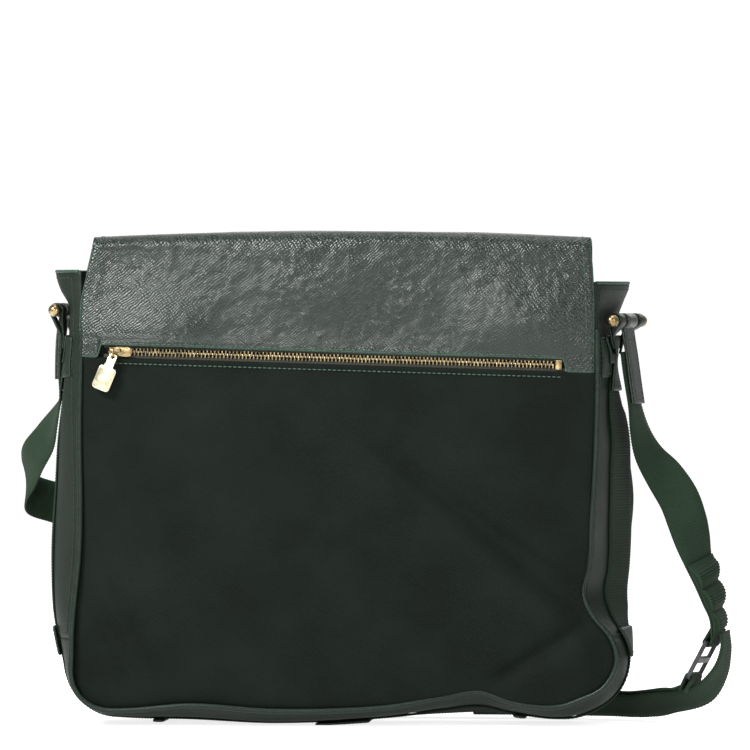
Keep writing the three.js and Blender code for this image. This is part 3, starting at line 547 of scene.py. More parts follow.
def cloth_look(name, dark, light, pitch_mm=0.7):
    look = Look(name)
    warp = look.wave(look.place(), bands(pitch_mm), 0.6, 3)
    weft = look.wave(look.place(turn=90), bands(pitch_mm), 0.6, 3)
    cloud = look.noise(look.place(), 40, 2, 0.5)
    weave = look.math("MULTIPLY", warp, weft)
    base = look.mix(look.ramp(weave, 0.0, 0.8), dark, light)
    colour = look.clouded(cloud, 0.3, 0.7, base, light, 0.25)
    look.set(Base_Color=colour, Roughness=0.7, Normal=look.bump(weave, 0.0002, 0.5))
    look.set(Specular_IOR_Level=0.3)
    return look.material


def metal_look(name, dark, light, rough_low, rough_high, metallic=1.0):
    look = Look(name)
    place = look.place("Object")
    cloud = look.noise(place, 180, 3, 0.6)
    rub = look.noise(place, 1300, 2, 0.6)
    colour = look.mix(look.ramp(cloud, 0.3, 0.7), dark, light)
    worn = look.math("ADD", cloud, look.math("MULTIPLY", rub, 0.4))
    rough = look.ramp(worn, 0.4, 1.0, rough_low, rough_high)
    look.set(Base_Color=colour, Roughness=rough, Metallic=metallic, Normal=look.bump(rub, 0.00004, 0.4))
    return look.material


def thread_look(name, colour):
    look = Look(name)
    twist = look.noise(look.place("Object"), 2500, 1, 0.5)
    shade = tuple(0.6 * c for c in colour[:3]) + (1,)
    look.set(Base_Color=look.mix(look.ramp(twist, 0.3, 0.7), colour, shade), Roughness=0.55)
    return look.material


TWILL = twill_look()
GRAINED = grained_leather_look()
GUSSET = smooth_leather_look("gusset_leather", srgb(6, 16, 9), srgb(21, 34, 24), 0.42, 0.58)
TRIM = smooth_leather_look("trim_leather", srgb(9, 21, 13), srgb(32, 46, 36), 0.33, 0.46)
# The rims' lighter green is a painted highlight: it stands in for the light that the rounded leather edges
# catch.
EDGE_HIGHLIGHT = smooth_leather_look("painted_edge_highlight", srgb(28, 50, 38), srgb(56, 82, 68), 0.35, 0.5)
PIPING = smooth_leather_look("piping_leather", srgb(5, 17, 10), srgb(20, 37, 27), 0.3, 0.44)
# The tab's grey, far lighter than the other leathers, is painted sheen: it stands in for the shine that the
# glossy tab catches.
TAB_SHEEN = smooth_leather_look("tab_leather", srgb(44, 50, 46), srgb(72, 77, 73), 0.24, 0.36)
STRAP = webbing_look("strap_webbing", srgb(11, 24, 14), srgb(40, 61, 43))
SIDE_WEBBING = webbing_look("side_webbing", srgb(9, 20, 12), srgb(30, 46, 33))
LINING = cloth_look("lining_cloth", srgb(9, 13, 10), srgb(26, 33, 28))
ZIP_TAPE = cloth_look("zip_tape", srgb(34, 34, 28), srgb(70, 69, 58), 0.9)
BRASS = metal_look("aged_brass", srgb(118, 98, 66), srgb(196, 176, 132), 0.22, 0.42)
CHAIN_BRASS = metal_look("chain_brass", srgb(92, 80, 58), srgb(178, 162, 126), 0.25, 0.45)
PALE_BRASS = metal_look("pale_gold", srgb(206, 198, 160), srgb(240, 234, 206), 0.2, 0.34)
DARK_METAL = metal_look("dark_painted_metal", srgb(44, 45, 47), srgb(74, 75, 77), 0.32, 0.5, 0.6)
BOARD = cloth_look("board", srgb(34, 30, 26), srgb(52, 46, 40), 2.0)
GREEN_THREAD = thread_look("green_thread", srgb(62, 92, 76))
DARK_THREAD = thread_look("dark_thread", srgb(40, 58, 46))
TEAL_THREAD = thread_look("teal_thread", srgb(58, 104, 100))

# ---- Camera, light and floor -------------------------------------------------------------------------------

CAMERA_TURN = math.radians(3.9)  # to the right of straight behind the bag
CAMERA_RISE = math.radians(0.5)
CAMERA_DISTANCE = 5.0
SEEN_WIDTH = 0.540  # metres across the picture, at the bag's rear face
AIM = (28.2, -SEAM_Y, 253)


def make_camera():
    data = bpy.data.cameras.new("camera")
    data.sensor_width = 36
    data.lens = data.sensor_width * CAMERA_DISTANCE / SEEN_WIDTH
    camera = bpy.data.objects.new("camera", data)
    bpy.context.scene.collection.objects.link(camera)
    level = math.cos(CAMERA_RISE)
    away = Vector((math.sin(CAMERA_TURN) * level, -math.cos(CAMERA_TURN) * level, math.sin(CAMERA_RISE)))
    camera.location = Vector(to_frame(AIM)) + away * CAMERA_DISTANCE
    camera.rotation_euler = (-away).to_track_quat("-Z", "Y").to_euler()
    bpy.context.scene.camera = camera


def area_light(name, place, target, size, power):
    data = bpy.data.lights.new(name, "AREA")
    data.shape = "RECTANGLE"
    data.size, data.size_y = size
    data.energy = power
    light = bpy.data.objects.new(name, data)
    bpy.context.scene.collection.objects.link(light)
    light.location = place
    light.rotation_euler = (Vector(target) - Vector(place)).to_track_quat("-Z", "Y").to_euler()


def seen_strength(tree, socket, lit, seen):
    """A strength with one value for the camera's rays, and another for all others."""
    ray = tree.nodes.new("ShaderNodeLightPath")
    choose = tree.nodes.new("ShaderNodeMapRange")
    choose.inputs["To Min"].default_value = lit
    choose.inputs["To Max"].default_value = seen
    tree.links.new(ray.outputs["Is Camera Ray"], choose.inputs["Value"])
    tree.links.new(choose.outputs["Result"], socket)


FLOOR_REACH = 30.0
FLOOR_Z = -0.0002


def make_stage():
    """A pale floor in an even pale surrounding, and soft boxes."""
    corners = ((-1, -1), (1, -1), (1, 1), (-1, 1))
    points = [(x * FLOOR_REACH, y * FLOOR_REACH, FLOOR_Z) for x, y in corners]
    mesh = bpy.data.meshes.new("floor")
    mesh.from_pydata(points, [], [(0, 1, 2, 3)])
    look = Look("pale_floor")
    look.set(Base_Color=(0.9, 0.9, 0.9, 1), Roughness=0.9, Emission_Color=(1, 1, 1, 1))
    seen_strength(look.material.node_tree, look.shader.inputs["Emission Strength"], 0.2, 0.8)
    mesh.materials.append(look.material)
    floor = bpy.data.objects.new("floor", mesh)
    bpy.context.scene.collection.objects.link(floor)

    # The surrounding is seen as white, and lights the bag with less than that.
    world = bpy.data.worlds.new("studio")
    world.use_nodes = True
    tree = world.node_tree
    seen_strength(tree, tree.nodes["Background"].inputs["Strength"], 0.3, 1.05)
    tree.nodes["Background"].inputs["Color"].default_value = (1, 1, 1, 1)
    bpy.context.scene.world = world
    middle = (0.0, 0.0, 0.18)
    area_light("key", (-0.95, -1.05, 1.2), middle, (0.5, 0.4), 34)
    area_light("glint", (-0.28, -3.2, 0.8), middle, (0.35, 0.22), 18)
    area_light("fill", (1.7, -2.0, 0.9), middle, (0.4, 0.9), 13)
    area_light("top", (0.1, 0.0, 2.3), middle, (2.0, 1.0), 26)
    area_light("back", (0.2, 2.2, 1.4), middle, (2.4, 1.0), 16)
    bpy.context.scene.view_settings.view_transform = "Standard"


make_camera()
make_stage()

# ---- The shoulder strap: three flat cords and a buckle -----------------------------------------------------

# The routes of the CAD's straps in metres: points of the middle line, and which way the strap is wide there.
SHORT_ROUTE = [
    ((0.2083, 0, 0.27), (0.276, 0.961, 0)),
    ((0.21, 0, 0.256), (0.276, 0.961, 0)),
    ((0.212, 0, 0.243), (0.276, 0.961, 0)),
    ((0.214, 0, 0.23), (0.276, 0.961, 0)),
    ((0.218, 0, 0.211), (0.45, 0.88, 0.08)),
    ((0.2245, -0.001, 0.195), (0.65, 0.7, 0.25)),
    ((0.236, -0.002, 0.179), (0.82, 0.35, 0.42)),
    ((0.246, -0.002, 0.163), (0.9, 0.15, 0.4)),
    ((0.2515, 0, 0.148), (0.93, 0.25, 0.3)),
    ((0.2555, 0.003, 0.134), (0.85, 0.48, 0.22)),
    ((0.259, 0.006, 0.121), (0.68, 0.7, 0.2)),
    ((0.2635, 0.009, 0.106), (0.5, 0.85, 0.17)),
    ((0.2685, 0.011, 0.09), (0.38, 0.92, 0.12)),
    ((0.2715, 0.012, 0.076), (0.2, 0.98, 0.02)),
    ((0.2713, 0.013, 0.063), (0.12, 0.98, -0.05)),
]
LONG_ROUTE = [
    ((0.2536, 0.016, 0.029), (0.12, 0.97, -0.2)),
    ((0.246, 0.022, 0.022), (0.3, 0.86, -0.4)),
    ((0.234, 0.031, 0.0165), (0.42, 0.72, -0.52)),
    ((0.216, 0.046, 0.0132), (0.28, 0.78, -0.55)),
    ((0.19, 0.061, 0.013), (0.12, 0.82, -0.57)),
    ((0.15, 0.073, 0.0128), (0.04, 0.82, -0.57)),
    ((0.09, 0.079, 0.0127), (0, 0.82, -0.57)),
    ((0.02, 0.079, 0.0099), (0, 0.82, -0.57)),
    ((-0.06, 0.079, 0.0099), (0, 0.82, -0.57)),
    ((-0.108, 0.077, 0.013), (-0.1, 0.78, -0.62)),
    ((-0.136, 0.074, 0.032), (-0.5, 0.6, -0.6)),
    ((-0.15, 0.071, 0.06), (-0.85, 0.3, -0.4)),
    ((-0.16, 0.069, 0.09), (-0.95, 0.1, -0.25)),
    ((-0.168, 0.068, 0.117), (-0.9, 0.1, -0.4)),
    ((-0.18, 0.067, 0.139), (-0.65, 0.1, -0.75)),
    ((-0.198, 0.065, 0.152), (-0.5, 0.05, -0.86)),
    ((-0.216, 0.061, 0.158), (-0.45, -0.05, -0.89)),
    ((-0.2295, 0.053, 0.163), (-0.3, -0.3, -0.9)),
    ((-0.2335, 0.041, 0.1705), (0, -0.4, -0.9)),
    ((-0.231, 0.029, 0.182), (0.35, -0.4, -0.85)),
    ((-0.227, 0.02, 0.192), (0.5, -0.5, -0.7)),
    ((-0.217, 0.011, 0.206), (0.5, -0.7, -0.5)),
    ((-0.2095, 0.004, 0.221), (0.3, -0.93, -0.2)),
    ((-0.2038, 0.0005, 0.236), (0.05, -1, -0.05)),
    ((-0.2022, 0, 0.25), (-0.1, -1, 0)),
    ((-0.2019, 0, 0.26), (-0.105, -0.995, 0)),
    ((-0.2017, 0, 0.27), (-0.105, -0.995, 0)),
]
TAIL_OFFSET = 0.0036  # beyond its start, the tail lies this far outside the long strap
TAIL_ROUTE = [
    ((0.279, 0.010, 0.066), (0.2, 0.97, -0.05)),
    ((0.2795, 0.011, 0.054), (0.22, 0.96, -0.12)),
    ((0.275, 0.013, 0.0375), (0.3, 0.92, -0.25)),
    ((0.2615, 0.019, 0.0205), (0.42, 0.8, -0.42)),
] + [((x + 0.3 * TAIL_OFFSET, y - 0.5 * TAIL_OFFSET, z - 0.8 * TAIL_OFFSET), wide)
     for (x, y, z), wide in LONG_ROUTE[2:7]]
RIB_PITCH = 2.1


def webbing_section(half_width, half_thickness):
    """Flat with round edges: the points of one crosswise cut."""
    inner = half_width - half_thickness
    flat = np.linspace(-inner, inner, 5)
    low = [(x, -half_thickness) for x in flat]
    high = [(x, half_thickness) for x in flat[::-1]]
    return np.array(low + [(half_width - 0.1, 0)] + high + [(-half_width + 0.1, 0)])


def flat_band(name, line, hints, width, thickness, look):
    """A plain band along a line: flat, with rounded edges."""
    right, up = path_frames(line, hints)
    sections = np.repeat(webbing_section(width / 2, thickness / 2)[None], len(line), 0)
    return sweep(name, line, right, up, sections, look)


def strap(name, route, look):
    """Ribbed webbing along a route. Returns the piece, its middle line, its length and its ring frames."""
    joined = [[*np.array(at) * 1000, *(np.array(wide) / np.linalg.norm(wide) * 20)] for at, wide in route]
    line = spline(joined, RIB_PITCH / 4)
    middle = line[:, :3]
    right, up = path_frames(middle, line[:, 3:])
    wave = np.cos(np.arange(len(middle)) * math.pi / 2)
    section = webbing_section(WEBBING_WIDTH / 2, WEBBING / 2)
    sections = np.repeat(section[None], len(middle), 0)
    sections[..., 1] *= 1 + 0.2 * wave[:, None]
    sections[..., 0] *= 1 + 0.006 * wave[:, None]
    piece = sweep(name, middle, right, up, sections, look)
    length = np.linalg.norm(np.diff(middle, axis=0), axis=1).sum() / 1000
    return piece, middle, length, right, up


def blend_from_tab(piece):
    """The strap's end is sewn to its tab; here the strap's placement is only baked into its mesh, and nothing
    makes it follow the tab.
    """
    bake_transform(piece)


def buckle_frame():
    """The buckle's middle, and its directions: along its bars, up to the short strap, through its plate."""
    top = np.array(SHORT_ROUTE[-1][0]) * 1000
    low = np.array(LONG_ROUTE[0][0]) * 1000
    upward = (top - low) / np.linalg.norm(top - low)
    long = np.array(LONG_ROUTE[0][1])
    long = long - upward * long.dot(upward)
    long /= np.linalg.norm(long)
    return (top + low) / 2, long, upward, np.cross(long, upward)


BUCKLE_HALF = (18.5, 15.5)
SLOT_HALF_LENGTH = 15.6
TURN_RADIUS = 2.6
SLOTS = ((-12.7, -2.4), (2.4, 12.7))
END_BAR = (SLOTS[1][1] + BUCKLE_HALF[1]) / 2


def make_buckle():
    middle, long, upward, thick = buckle_frame()
    place = Matrix.Translation(Vector(middle)) @ Matrix([
        [*row, 0] for row in np.stack([long, upward, thick], 1)] + [[0, 0, 0, 1]])
    outlines = [rounded_outline(-BUCKLE_HALF[0], BUCKLE_HALF[0], -BUCKLE_HALF[1], BUCKLE_HALF[1], 3.2)]
    slot_ends = (-SLOT_HALF_LENGTH, SLOT_HALF_LENGTH)
    outlines += [rounded_outline(*slot_ends, low, high, 1.0)[::-1] for low, high in SLOTS]
    buckle = flat_part("strap_slide_buckle", outlines, 1.5, 0.7, DARK_METAL, place)
    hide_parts("strap_buckle")
    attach(buckle, "shell")

    # A turn of webbing round each end bar.
    for name, sign in (("upper", 1), ("lower", -1)):
        angles = np.radians(np.linspace(-90, 90, 12))
        turn = [(END_BAR - TURN_RADIUS * math.cos(a), TURN_RADIUS * math.sin(a)) for a in angles]
        side = [(END_BAR + along, TURN_RADIUS * (1 - 0.25 * along / 12)) for along in (3, 7, 12)]
        path = [(u, -n) for u, n in side[::-1]] + turn + side
        line = np.array([middle + upward * sign * u + thick * n for u, n in spline(path, 1.0)])
        loop = flat_band(f"strap_turn_{name}", line, long, 28.8, WEBBING, STRAP)
        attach(loop, "shell")
    return buckle


FOLD_LENGTH = 58
FOLD_LUMPS = 3


def make_folded_end(middle, right, up):
    """The short strap's end, folded back on itself and sewn down in soft lumps."""
    count = int(FOLD_LENGTH / (RIB_PITCH / 4))
    middle, right, up = middle[-count:], right[-count:], up[-count:]
    outward = np.where(up[:, :1] > 0, 1.0, -1.0)
    t = np.linspace(0, 1, count)
    lump = np.abs(np.sin(math.pi * FOLD_LUMPS * t)) ** 0.7
    half = 0.9 + 2.1 * lump * np.clip(np.minimum(t, 1 - t) * 8, 0.2, 1)
    wave = 1 + 0.08 * np.cos(np.arange(count) * math.pi / 2)
    origins = middle + up * outward * (half * wave + WEBBING / 2 + 0.2)[:, None]
    section = webbing_section(WEBBING_WIDTH / 2 - 0.4, 1.0)
    sections = np.repeat(section[None], count, 0)
    sections[..., 1] *= (half * wave)[:, None]
    piece = sweep("strap_folded_end", origins, right, up, sections, STRAP)
    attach(piece, "shell")


def make_straps():
    short, short_line, short_length, right, up = strap("strap_webbing_short", SHORT_ROUTE, STRAP)
    long_one, long_line, long_length, _, _ = strap("strap_webbing_long", LONG_ROUTE[::-1], STRAP)
    tail, tail_line, tail_length, _, _ = strap("strap_tail_webbing", TAIL_ROUTE, STRAP)
    for piece, node in ((short, "strap_short"), (long_one, "strap_long"), (tail, "strap_tail")):
        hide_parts(node)
    blend_from_tab(short)
    blend_from_tab(long_one)
    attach(tail, "shell")
    buckle = make_buckle()
    make_folded_end(short_line, right, up)


make_straps()

# ---- The seam line and the gusset's surface ----------------------------------------------------------------

# A place on the seam is a distance from its left top end, down the left side, along the bottom and up.
SIDE_LENGTH = math.hypot(LOW_HALF_WIDTH - TOP_HALF_WIDTH, GUSSET_TOP - CORNER_Z)
CORNER_LENGTH = CORNER_RADIUS * math.pi / 2
SEAM_LENGTH = 2 * (SIDE_LENGTH + CORNER_LENGTH + CORNER_X)


def left_at(z):
    return (GUSSET_TOP - z) / (GUSSET_TOP - CORNER_Z) * SIDE_LENGTH


def right_at(z):
    return SEAM_LENGTH - left_at(z)


def bottom_at(x):
    return SIDE_LENGTH + CORNER_LENGTH + CORNER_X + x


def seam(s):
    """X, Z and the outward direction (X, Z) at places on the seam line as it was cut."""
    s = np.asarray(s, float)
    flip = np.where(s > SEAM_LENGTH / 2, -1.0, 1.0)
    d = np.where(s > SEAM_LENGTH / 2, SEAM_LENGTH - s, s)
    angle = math.pi + np.clip((d - SIDE_LENGTH) / CORNER_RADIUS, 0, math.pi / 2)
    t = np.clip(d / SIDE_LENGTH, None, 1)
    side_x = -(TOP_HALF_WIDTH + (LOW_HALF_WIDTH - TOP_HALF_WIDTH) * t)
    side_z = GUSSET_TOP + (CORNER_Z - GUSSET_TOP) * t
    along_bottom = np.clip(d - SIDE_LENGTH - CORNER_LENGTH, 0, None)
    x = np.where(d < SIDE_LENGTH, side_x, -CORNER_X + CORNER_RADIUS * np.cos(angle) + along_bottom)
    z = np.where(d < SIDE_LENGTH, side_z, CORNER_Z + CORNER_RADIUS * np.sin(angle))
    return flip * x, z, flip * np.cos(angle), np.sin(angle)


# The used bag has slumped: how far its rear seam has moved out of the cut line, and how far into the bag.
REAR_PUSH = [
    (left_at(328), -1), (left_at(289), -3), (left_at(221), -3.5), (left_at(127), -5.5),
    (left_at(66), -1.5), (left_at(44), -1.5), (SIDE_LENGTH + CORNER_LENGTH / 2, 0.5),
    (bottom_at(-152), 1), (bottom_at(-108), -2.5), (bottom_at(-45), 1.2), (bottom_at(6), 0.5),
    (bottom_at(40), -2), (bottom_at(77), -9), (bottom_at(103), -13), (bottom_at(125), -6),
    (bottom_at(150), -2), (bottom_at(CORNER_X) + 19, -3.5), (bottom_at(CORNER_X) + 38, 4.4),
    (right_at(48), 9.5), (right_at(64), 5.5), (right_at(81), -8), (right_at(96), -14),
    (right_at(112), -10.5), (right_at(157), -5.5), (right_at(221), -1), (right_at(328), 0),
]
REAR_TUCK = [
    (0, 0), (bottom_at(50), 0), (bottom_at(100), 4), (bottom_at(150), 0), (right_at(60), -1),
    (right_at(95), 5), (right_at(150), 0), (SEAM_LENGTH, 0),
]

# How far the leather bows out of the seam: by how much, where its highest point is (-1 rear seam, 1 front
# seam), and how boxy it is (2 a parabola).
BOW = [
    (left_at(328), 20), (left_at(314), 16), (left_at(304), 9.5), (left_at(290), 9), (left_at(243), 13),
    (left_at(190), 16), (left_at(80), 15), (left_at(60), 10), (left_at(42), 6),
    (SIDE_LENGTH + CORNER_LENGTH / 2, 4), (bottom_at(-CORNER_X), 5), (bottom_at(-120), BOTTOM_BOW),
    (bottom_at(CORNER_X), BOTTOM_BOW), (right_at(70), 15.5), (right_at(120), 20), (right_at(167), 22.5),
    (right_at(209), 19), (right_at(245), 11), (right_at(262), 9), (right_at(276), 11),
    (right_at(296), 14), (right_at(306), 18), (right_at(319), 22),
]
APEX = [
    (left_at(328), -0.3), (left_at(304), -0.75), (left_at(243), -0.7), (left_at(190), -0.35),
    (left_at(70), -0.25), (bottom_at(-CORNER_X), 0), (bottom_at(0), 0), (bottom_at(CORNER_X), 0),
    (right_at(70), 0.3), (right_at(120), 0.45), (right_at(200), 0.45), (right_at(250), 0.2),
    (right_at(264), 0.1), (right_at(285), 0.5), (right_at(303), 0.4), (right_at(319), 0.1),
]
BOXY = [
    (left_at(328), 2), (left_at(304), 1.4), (left_at(243), 1.4), (left_at(190), 2), (left_at(70), 2.4),
    (bottom_at(-CORNER_X), 7), (bottom_at(0), 8), (bottom_at(CORNER_X), 7), (right_at(70), 1.3),
    (right_at(120), 0.95), (right_at(200), 0.95), (right_at(250), 1.8), (right_at(264), 3),
    (right_at(280), 1.2), (right_at(303), 1.3), (right_at(319), 2),
]


def bow(s, v):
    apex = np.clip(keyed(APEX, s), -0.8, 0.8)
    away = np.where(v < apex, (apex - v) / (1 + apex), (v - apex) / (1 - apex))
    return keyed(BOW, s) * (1 - np.clip(away, 0, 1) ** np.clip(keyed(BOXY, s), 0.85, 9))


def on_gusset(s, y, depth=0.0):
    """Points on the gusset's leather, at a height over it."""
    s, y = np.broadcast_arrays(np.asarray(s, float), np.asarray(y, float))
    x, z, out_x, out_z = seam(s)
    v = y / GUSSET_HALF_DEPTH
    rear = np.clip((1 - v) / 2, 0, 1) ** 1.5
    on_side = ease((z - 20) / 40)
    soft = 0.7 * ripple(s * 0.7, y, 46, 3) * (1 - v**2) * on_side
    push = bow(s, v) + keyed(REAR_PUSH, s) * rear + soft + depth
    return np.stack([x + out_x * push, y + keyed(REAR_TUCK, s) * rear, z + out_z * push], -1)


def strip(name, start, end, half, inner, outer, look, step, columns, rib=0.0):
    """A strip that lies on the gusset. rib is the height of webbing's crosswise ribs."""
    rows = max(3, int((end - start) / step) + 1)
    s = np.linspace(start, end, rows)[:, None]
    y = np.linspace(-half, half, columns)[None, :]
    wave = rib * np.cos((s - start) * 2 * math.pi / RIB_PITCH)
    uv = np.stack(np.broadcast_arrays(y, s), -1) / 1000
    return slab(name, on_gusset(s, y, outer + wave), on_gusset(s, y, inner), look, uv)


def gusset_row(s, y, height):
    """A row for stitches on the gusset: its places, and which way is out there."""
    line = on_gusset(s, y, height)
    return line, on_gusset(s, y, height + 1) - line


def sunk(s, v):
    """How far the slumped rear seam takes what lies inside the gusset in, between -1 (rear) and 1 (front)."""
    return -np.minimum(keyed(REAR_PUSH, s), 0) * ((1 - v) / 2) ** 1.5


def rear_seam(s, inset=0.0):
    x, z, out_x, out_z = seam(s)
    push = keyed(REAR_PUSH, s) - inset
    return x + out_x * push, z + out_z * push


def held_rear_seam(s, inset):
    """Where a lining can go: inside both the cut line and the slumped seam."""
    x, z, out_x, out_z = seam(s)
    push = np.minimum(keyed(REAR_PUSH, s), 0) - inset
    return x + out_x * push, z + out_z * push


def front_seam(s, inset=0.0):
    x, z, out_x, out_z = seam(s)
    return x - out_x * inset, z - out_z * inset


def patch_inside(line, start, end, top_line, rows, columns):
    """A grid of X and Z that fills a seam outline from one place to another, closed by a line at the top."""
    left_end = SIDE_LENGTH + CORNER_LENGTH / 2
    v = np.linspace(0, 1, rows)[:, None]
    u = np.linspace(0, 1, columns)[None, :]
    left = np.stack(line(start + (left_end - start) * v[:, 0]), -1)
    right = np.stack(line(end + (SEAM_LENGTH - left_end - end) * v[:, 0]), -1)
    low = np.stack(line(left_end + (SEAM_LENGTH - 2 * left_end) * u[0]), -1)
    top = top_line(left[0], right[0], u[0])
    v, u = v[..., None], u[..., None]
    corners = ((1 - v) * ((1 - u) * top[0] + u * top[-1]) + v * ((1 - u) * low[0] + u * low[-1]))
    return (1 - v) * top[None] + v * low[None] + (1 - u) * left[:, None] + u * right[:, None] - corners


def straight(a, b, u):
    return a[None] + (b - a)[None] * u[:, None]


def level_slab(name, xz, y_outer, y_inner, look, **more):
    outer = np.stack([xz[..., 0], np.broadcast_to(y_outer, xz.shape[:2]), xz[..., 1]], -1)
    inner = np.stack([xz[..., 0], np.broadcast_to(y_inner, xz.shape[:2]), xz[..., 1]], -1)
    return slab(name, outer, inner, look, xz / 1000, **more)


def rounded_grid(x_low, x_high, z_low, z_high, radius, rows, columns, top_radius=None):
    """A grid of X and Z that fills a rectangle with round corners."""
    top_radius = radius if top_radius is None else top_radius
    z = z_high + (z_low - z_high) * (1 - np.cos(np.linspace(0, math.pi, rows))) / 2
    cut_low = np.clip(radius - (z - z_low), 0, None)
    cut_top = np.clip(top_radius - (z_high - z), 0, None)
    shrink = (radius - np.sqrt(np.clip(radius**2 - cut_low**2, 0, None))
              + top_radius - np.sqrt(np.clip(top_radius**2 - cut_top**2, 0, None)))
    u = np.linspace(0, 1, columns)[None, :]
    left, right = (x_low + shrink)[:, None], (x_high - shrink)[:, None]
    x = left + (right - left) * u
    return np.stack([x, np.broadcast_to(z[:, None], x.shape)], -1)


def done(piece, nodes=(), body="shell"):
    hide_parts(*nodes)
    if body is not None:
        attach(piece, body)
    return piece


# ---- Rear panel --------------------------------------------------------------------------------------------

ZIP_MID_Z = 265.3
ZIP_SLOPE = math.radians(1.75)
FABRIC_BELOW_ZIP = 5.6
YOKE_ABOVE_ZIP = 4.2


def zip_place(x, y, h):
    """A point given along the zip, away from the bag and above the zip's middle line."""
    x, y, h = np.broadcast_arrays(np.asarray(x, float), np.asarray(y, float), np.asarray(h, float))
    return np.stack([x * math.cos(ZIP_SLOPE) + h * math.sin(ZIP_SLOPE), y,
                     ZIP_MID_Z - x * math.sin(ZIP_SLOPE) + h * math.cos(ZIP_SLOPE)], -1)


def zip_height(x):
    return ZIP_MID_Z - math.tan(ZIP_SLOPE) * x


def panel_relief(x, z):
    """How far the slack fabric of the rear panel stands out."""
    t, left = along_line(x, z, (-34, 252), (184, 74))
    grow = ease(t * 1.25 + 0.05) * ease((1.25 - t) * 4)
    width = 5 + 13 * np.clip(t, 0, 1)
    ridge = bump_along(left + width * 0.9, width) - 1.25 * bump_along(left - width * 0.35, width * 0.6)
    relief = grow * (2.0 + 5.0 * np.clip(t, 0, 1)) * ridge

    t, left = along_line(x, z, (112, 30), (180, 74))
    relief = relief - 4.6 * ease((t + 0.25) * 2.5) * ease((1.3 - t) * 3) * bump_along(left, 6)
    relief = relief + 3.6 * ease((t + 0.2) * 3) * ease((1.2 - t) * 3) * bump_along(left + 17, 13)

    t, left = along_line(x, z, (-184, 112), (-138, 30))
    relief = relief + 2.6 * ease(t * 3 + 0.3) * ease((1.1 - t) * 2.5) * (
        bump_along(left - 7, 8) - 0.9 * bump_along(left + 5, 6))
    relief = relief - 2.2 * bump_along(np.hypot(x + 178, (z - 42) * 0.7), 9)

    t, left = along_line(x, z, (103, 24), (60, 80))
    relief = relief - 2.4 * ease((1.1 - t) * 1.5) * ease((t + 0.2) * 5) * bump_along(left, 9)
    relief = relief + 0.55 * ripple(x, z, 95, 1) + 0.16 * ripple(x, z, 26, 2)
    return relief


def make_rear_panel():
    left_top, right_top = (zip_height(x) - FABRIC_BELOW_ZIP for x in (-186, 186))
    grid = patch_inside(lambda s: rear_seam(s, PANEL_INSET), left_at(left_top), right_at(right_top),
                        straight, 132, 196)
    x, z = grid[..., 0], grid[..., 1]
    rows, columns = x.shape
    v = np.linspace(0, 1, rows)[:, None]
    u = np.linspace(0, 1, columns)[None, :]
    edge = np.minimum(np.minimum(u, 1 - u) * 380, (1 - v) * 250)
    from_top = v * 250
    held = ease(edge / 26) * ease(from_top / 22)
    crowned = 3.6 * np.sqrt(np.clip(edge / 60, 0, 1)) * ease(from_top / 90)
    tuck = 2.5 * bump_along(np.hypot(x - 186, z - 93), 26) + 3.5 * bump_along(np.hypot(x - 103, z - 20), 18)
    out = 0.4 + crowned + panel_relief(x, z) * (0.25 + 0.75 * held) - tuck * 0.8
    out = out + 0.7 * ease(1 - from_top / 5)
    # A fold goes in no further than the pocket bag, or the lining beyond it, leaves room for.
    deepest = -1.3 - 1.3 * ease((x - 160) / 12)
    out = deepest + 0.5 * np.log1p(np.exp((out - deepest) / 0.5))
    panel = level_slab("rear_panel_twill", grid, -(SEAM_Y + out), -(SEAM_Y + out - 2.2), TWILL)
    done(panel, ["back_panel"])

    s = np.linspace(left_at(287), right_at(286), 420)
    px, pz = rear_seam(s)
    line = np.stack([px, -SEAM_Y + keyed(REAR_TUCK, s), pz], -1)
    piping = tube("rear_piping", line, PIPING_RADIUS + 0.1, PIPING, sides=10)
    done(piping, ["back_piping"])

    top = np.linspace(-168, 163, 60)
    row = zip_place(top, -PANEL_OUT - 0.35, -FABRIC_BELOW_ZIP - 3.2)
    done(stitches("panel_top_stitches", [(row, (0, -1, 0))], GREEN_THREAD))


# ---- Zip ---------------------------------------------------------------------------------------------------

TOOTH_PITCH = 2.7
ZIP_START, ZIP_END = -162, 158
BAIL_X, BAIL_Y, BAIL_DROP = -160.5, -50.65, -0.95
BAIL_RADIUS = 2.9
TAPE_ENDS = (-168, 170)
TEETH_Y = -43.4
SLIDER_ENDS = (-164.6, -147.4)
SLIDER_Y = -46.1
PULLER_TURN = math.radians(21)  # the puller hangs askew
ZIP_TURN = Matrix.Rotation(ZIP_SLOPE, 4, "Y")
UPRIGHT = Matrix.Rotation(math.radians(90), 4, "X")
ZIP_UP = zip_place(0, 0, 1) - zip_place(0, 0, 0)
ZIP_ALONG = zip_place(1, 0, 0) - zip_place(0, 0, 0)


def pill(rings, sides, power=1.0):
    """A shape of rings (height, half width, half depth), as points and faces."""
    points = []
    for height, a, b in rings:
        for k in range(sides):
            angle = 2 * math.pi * (k + 0.5) / sides
            c, s = math.cos(angle), math.sin(angle)
            across, deep = math.copysign(abs(c) ** power, c), math.copysign(abs(s) ** power, s)
            points.append((a * across, b * deep, height))
    return np.array(points), ring_faces(len(rings), sides)


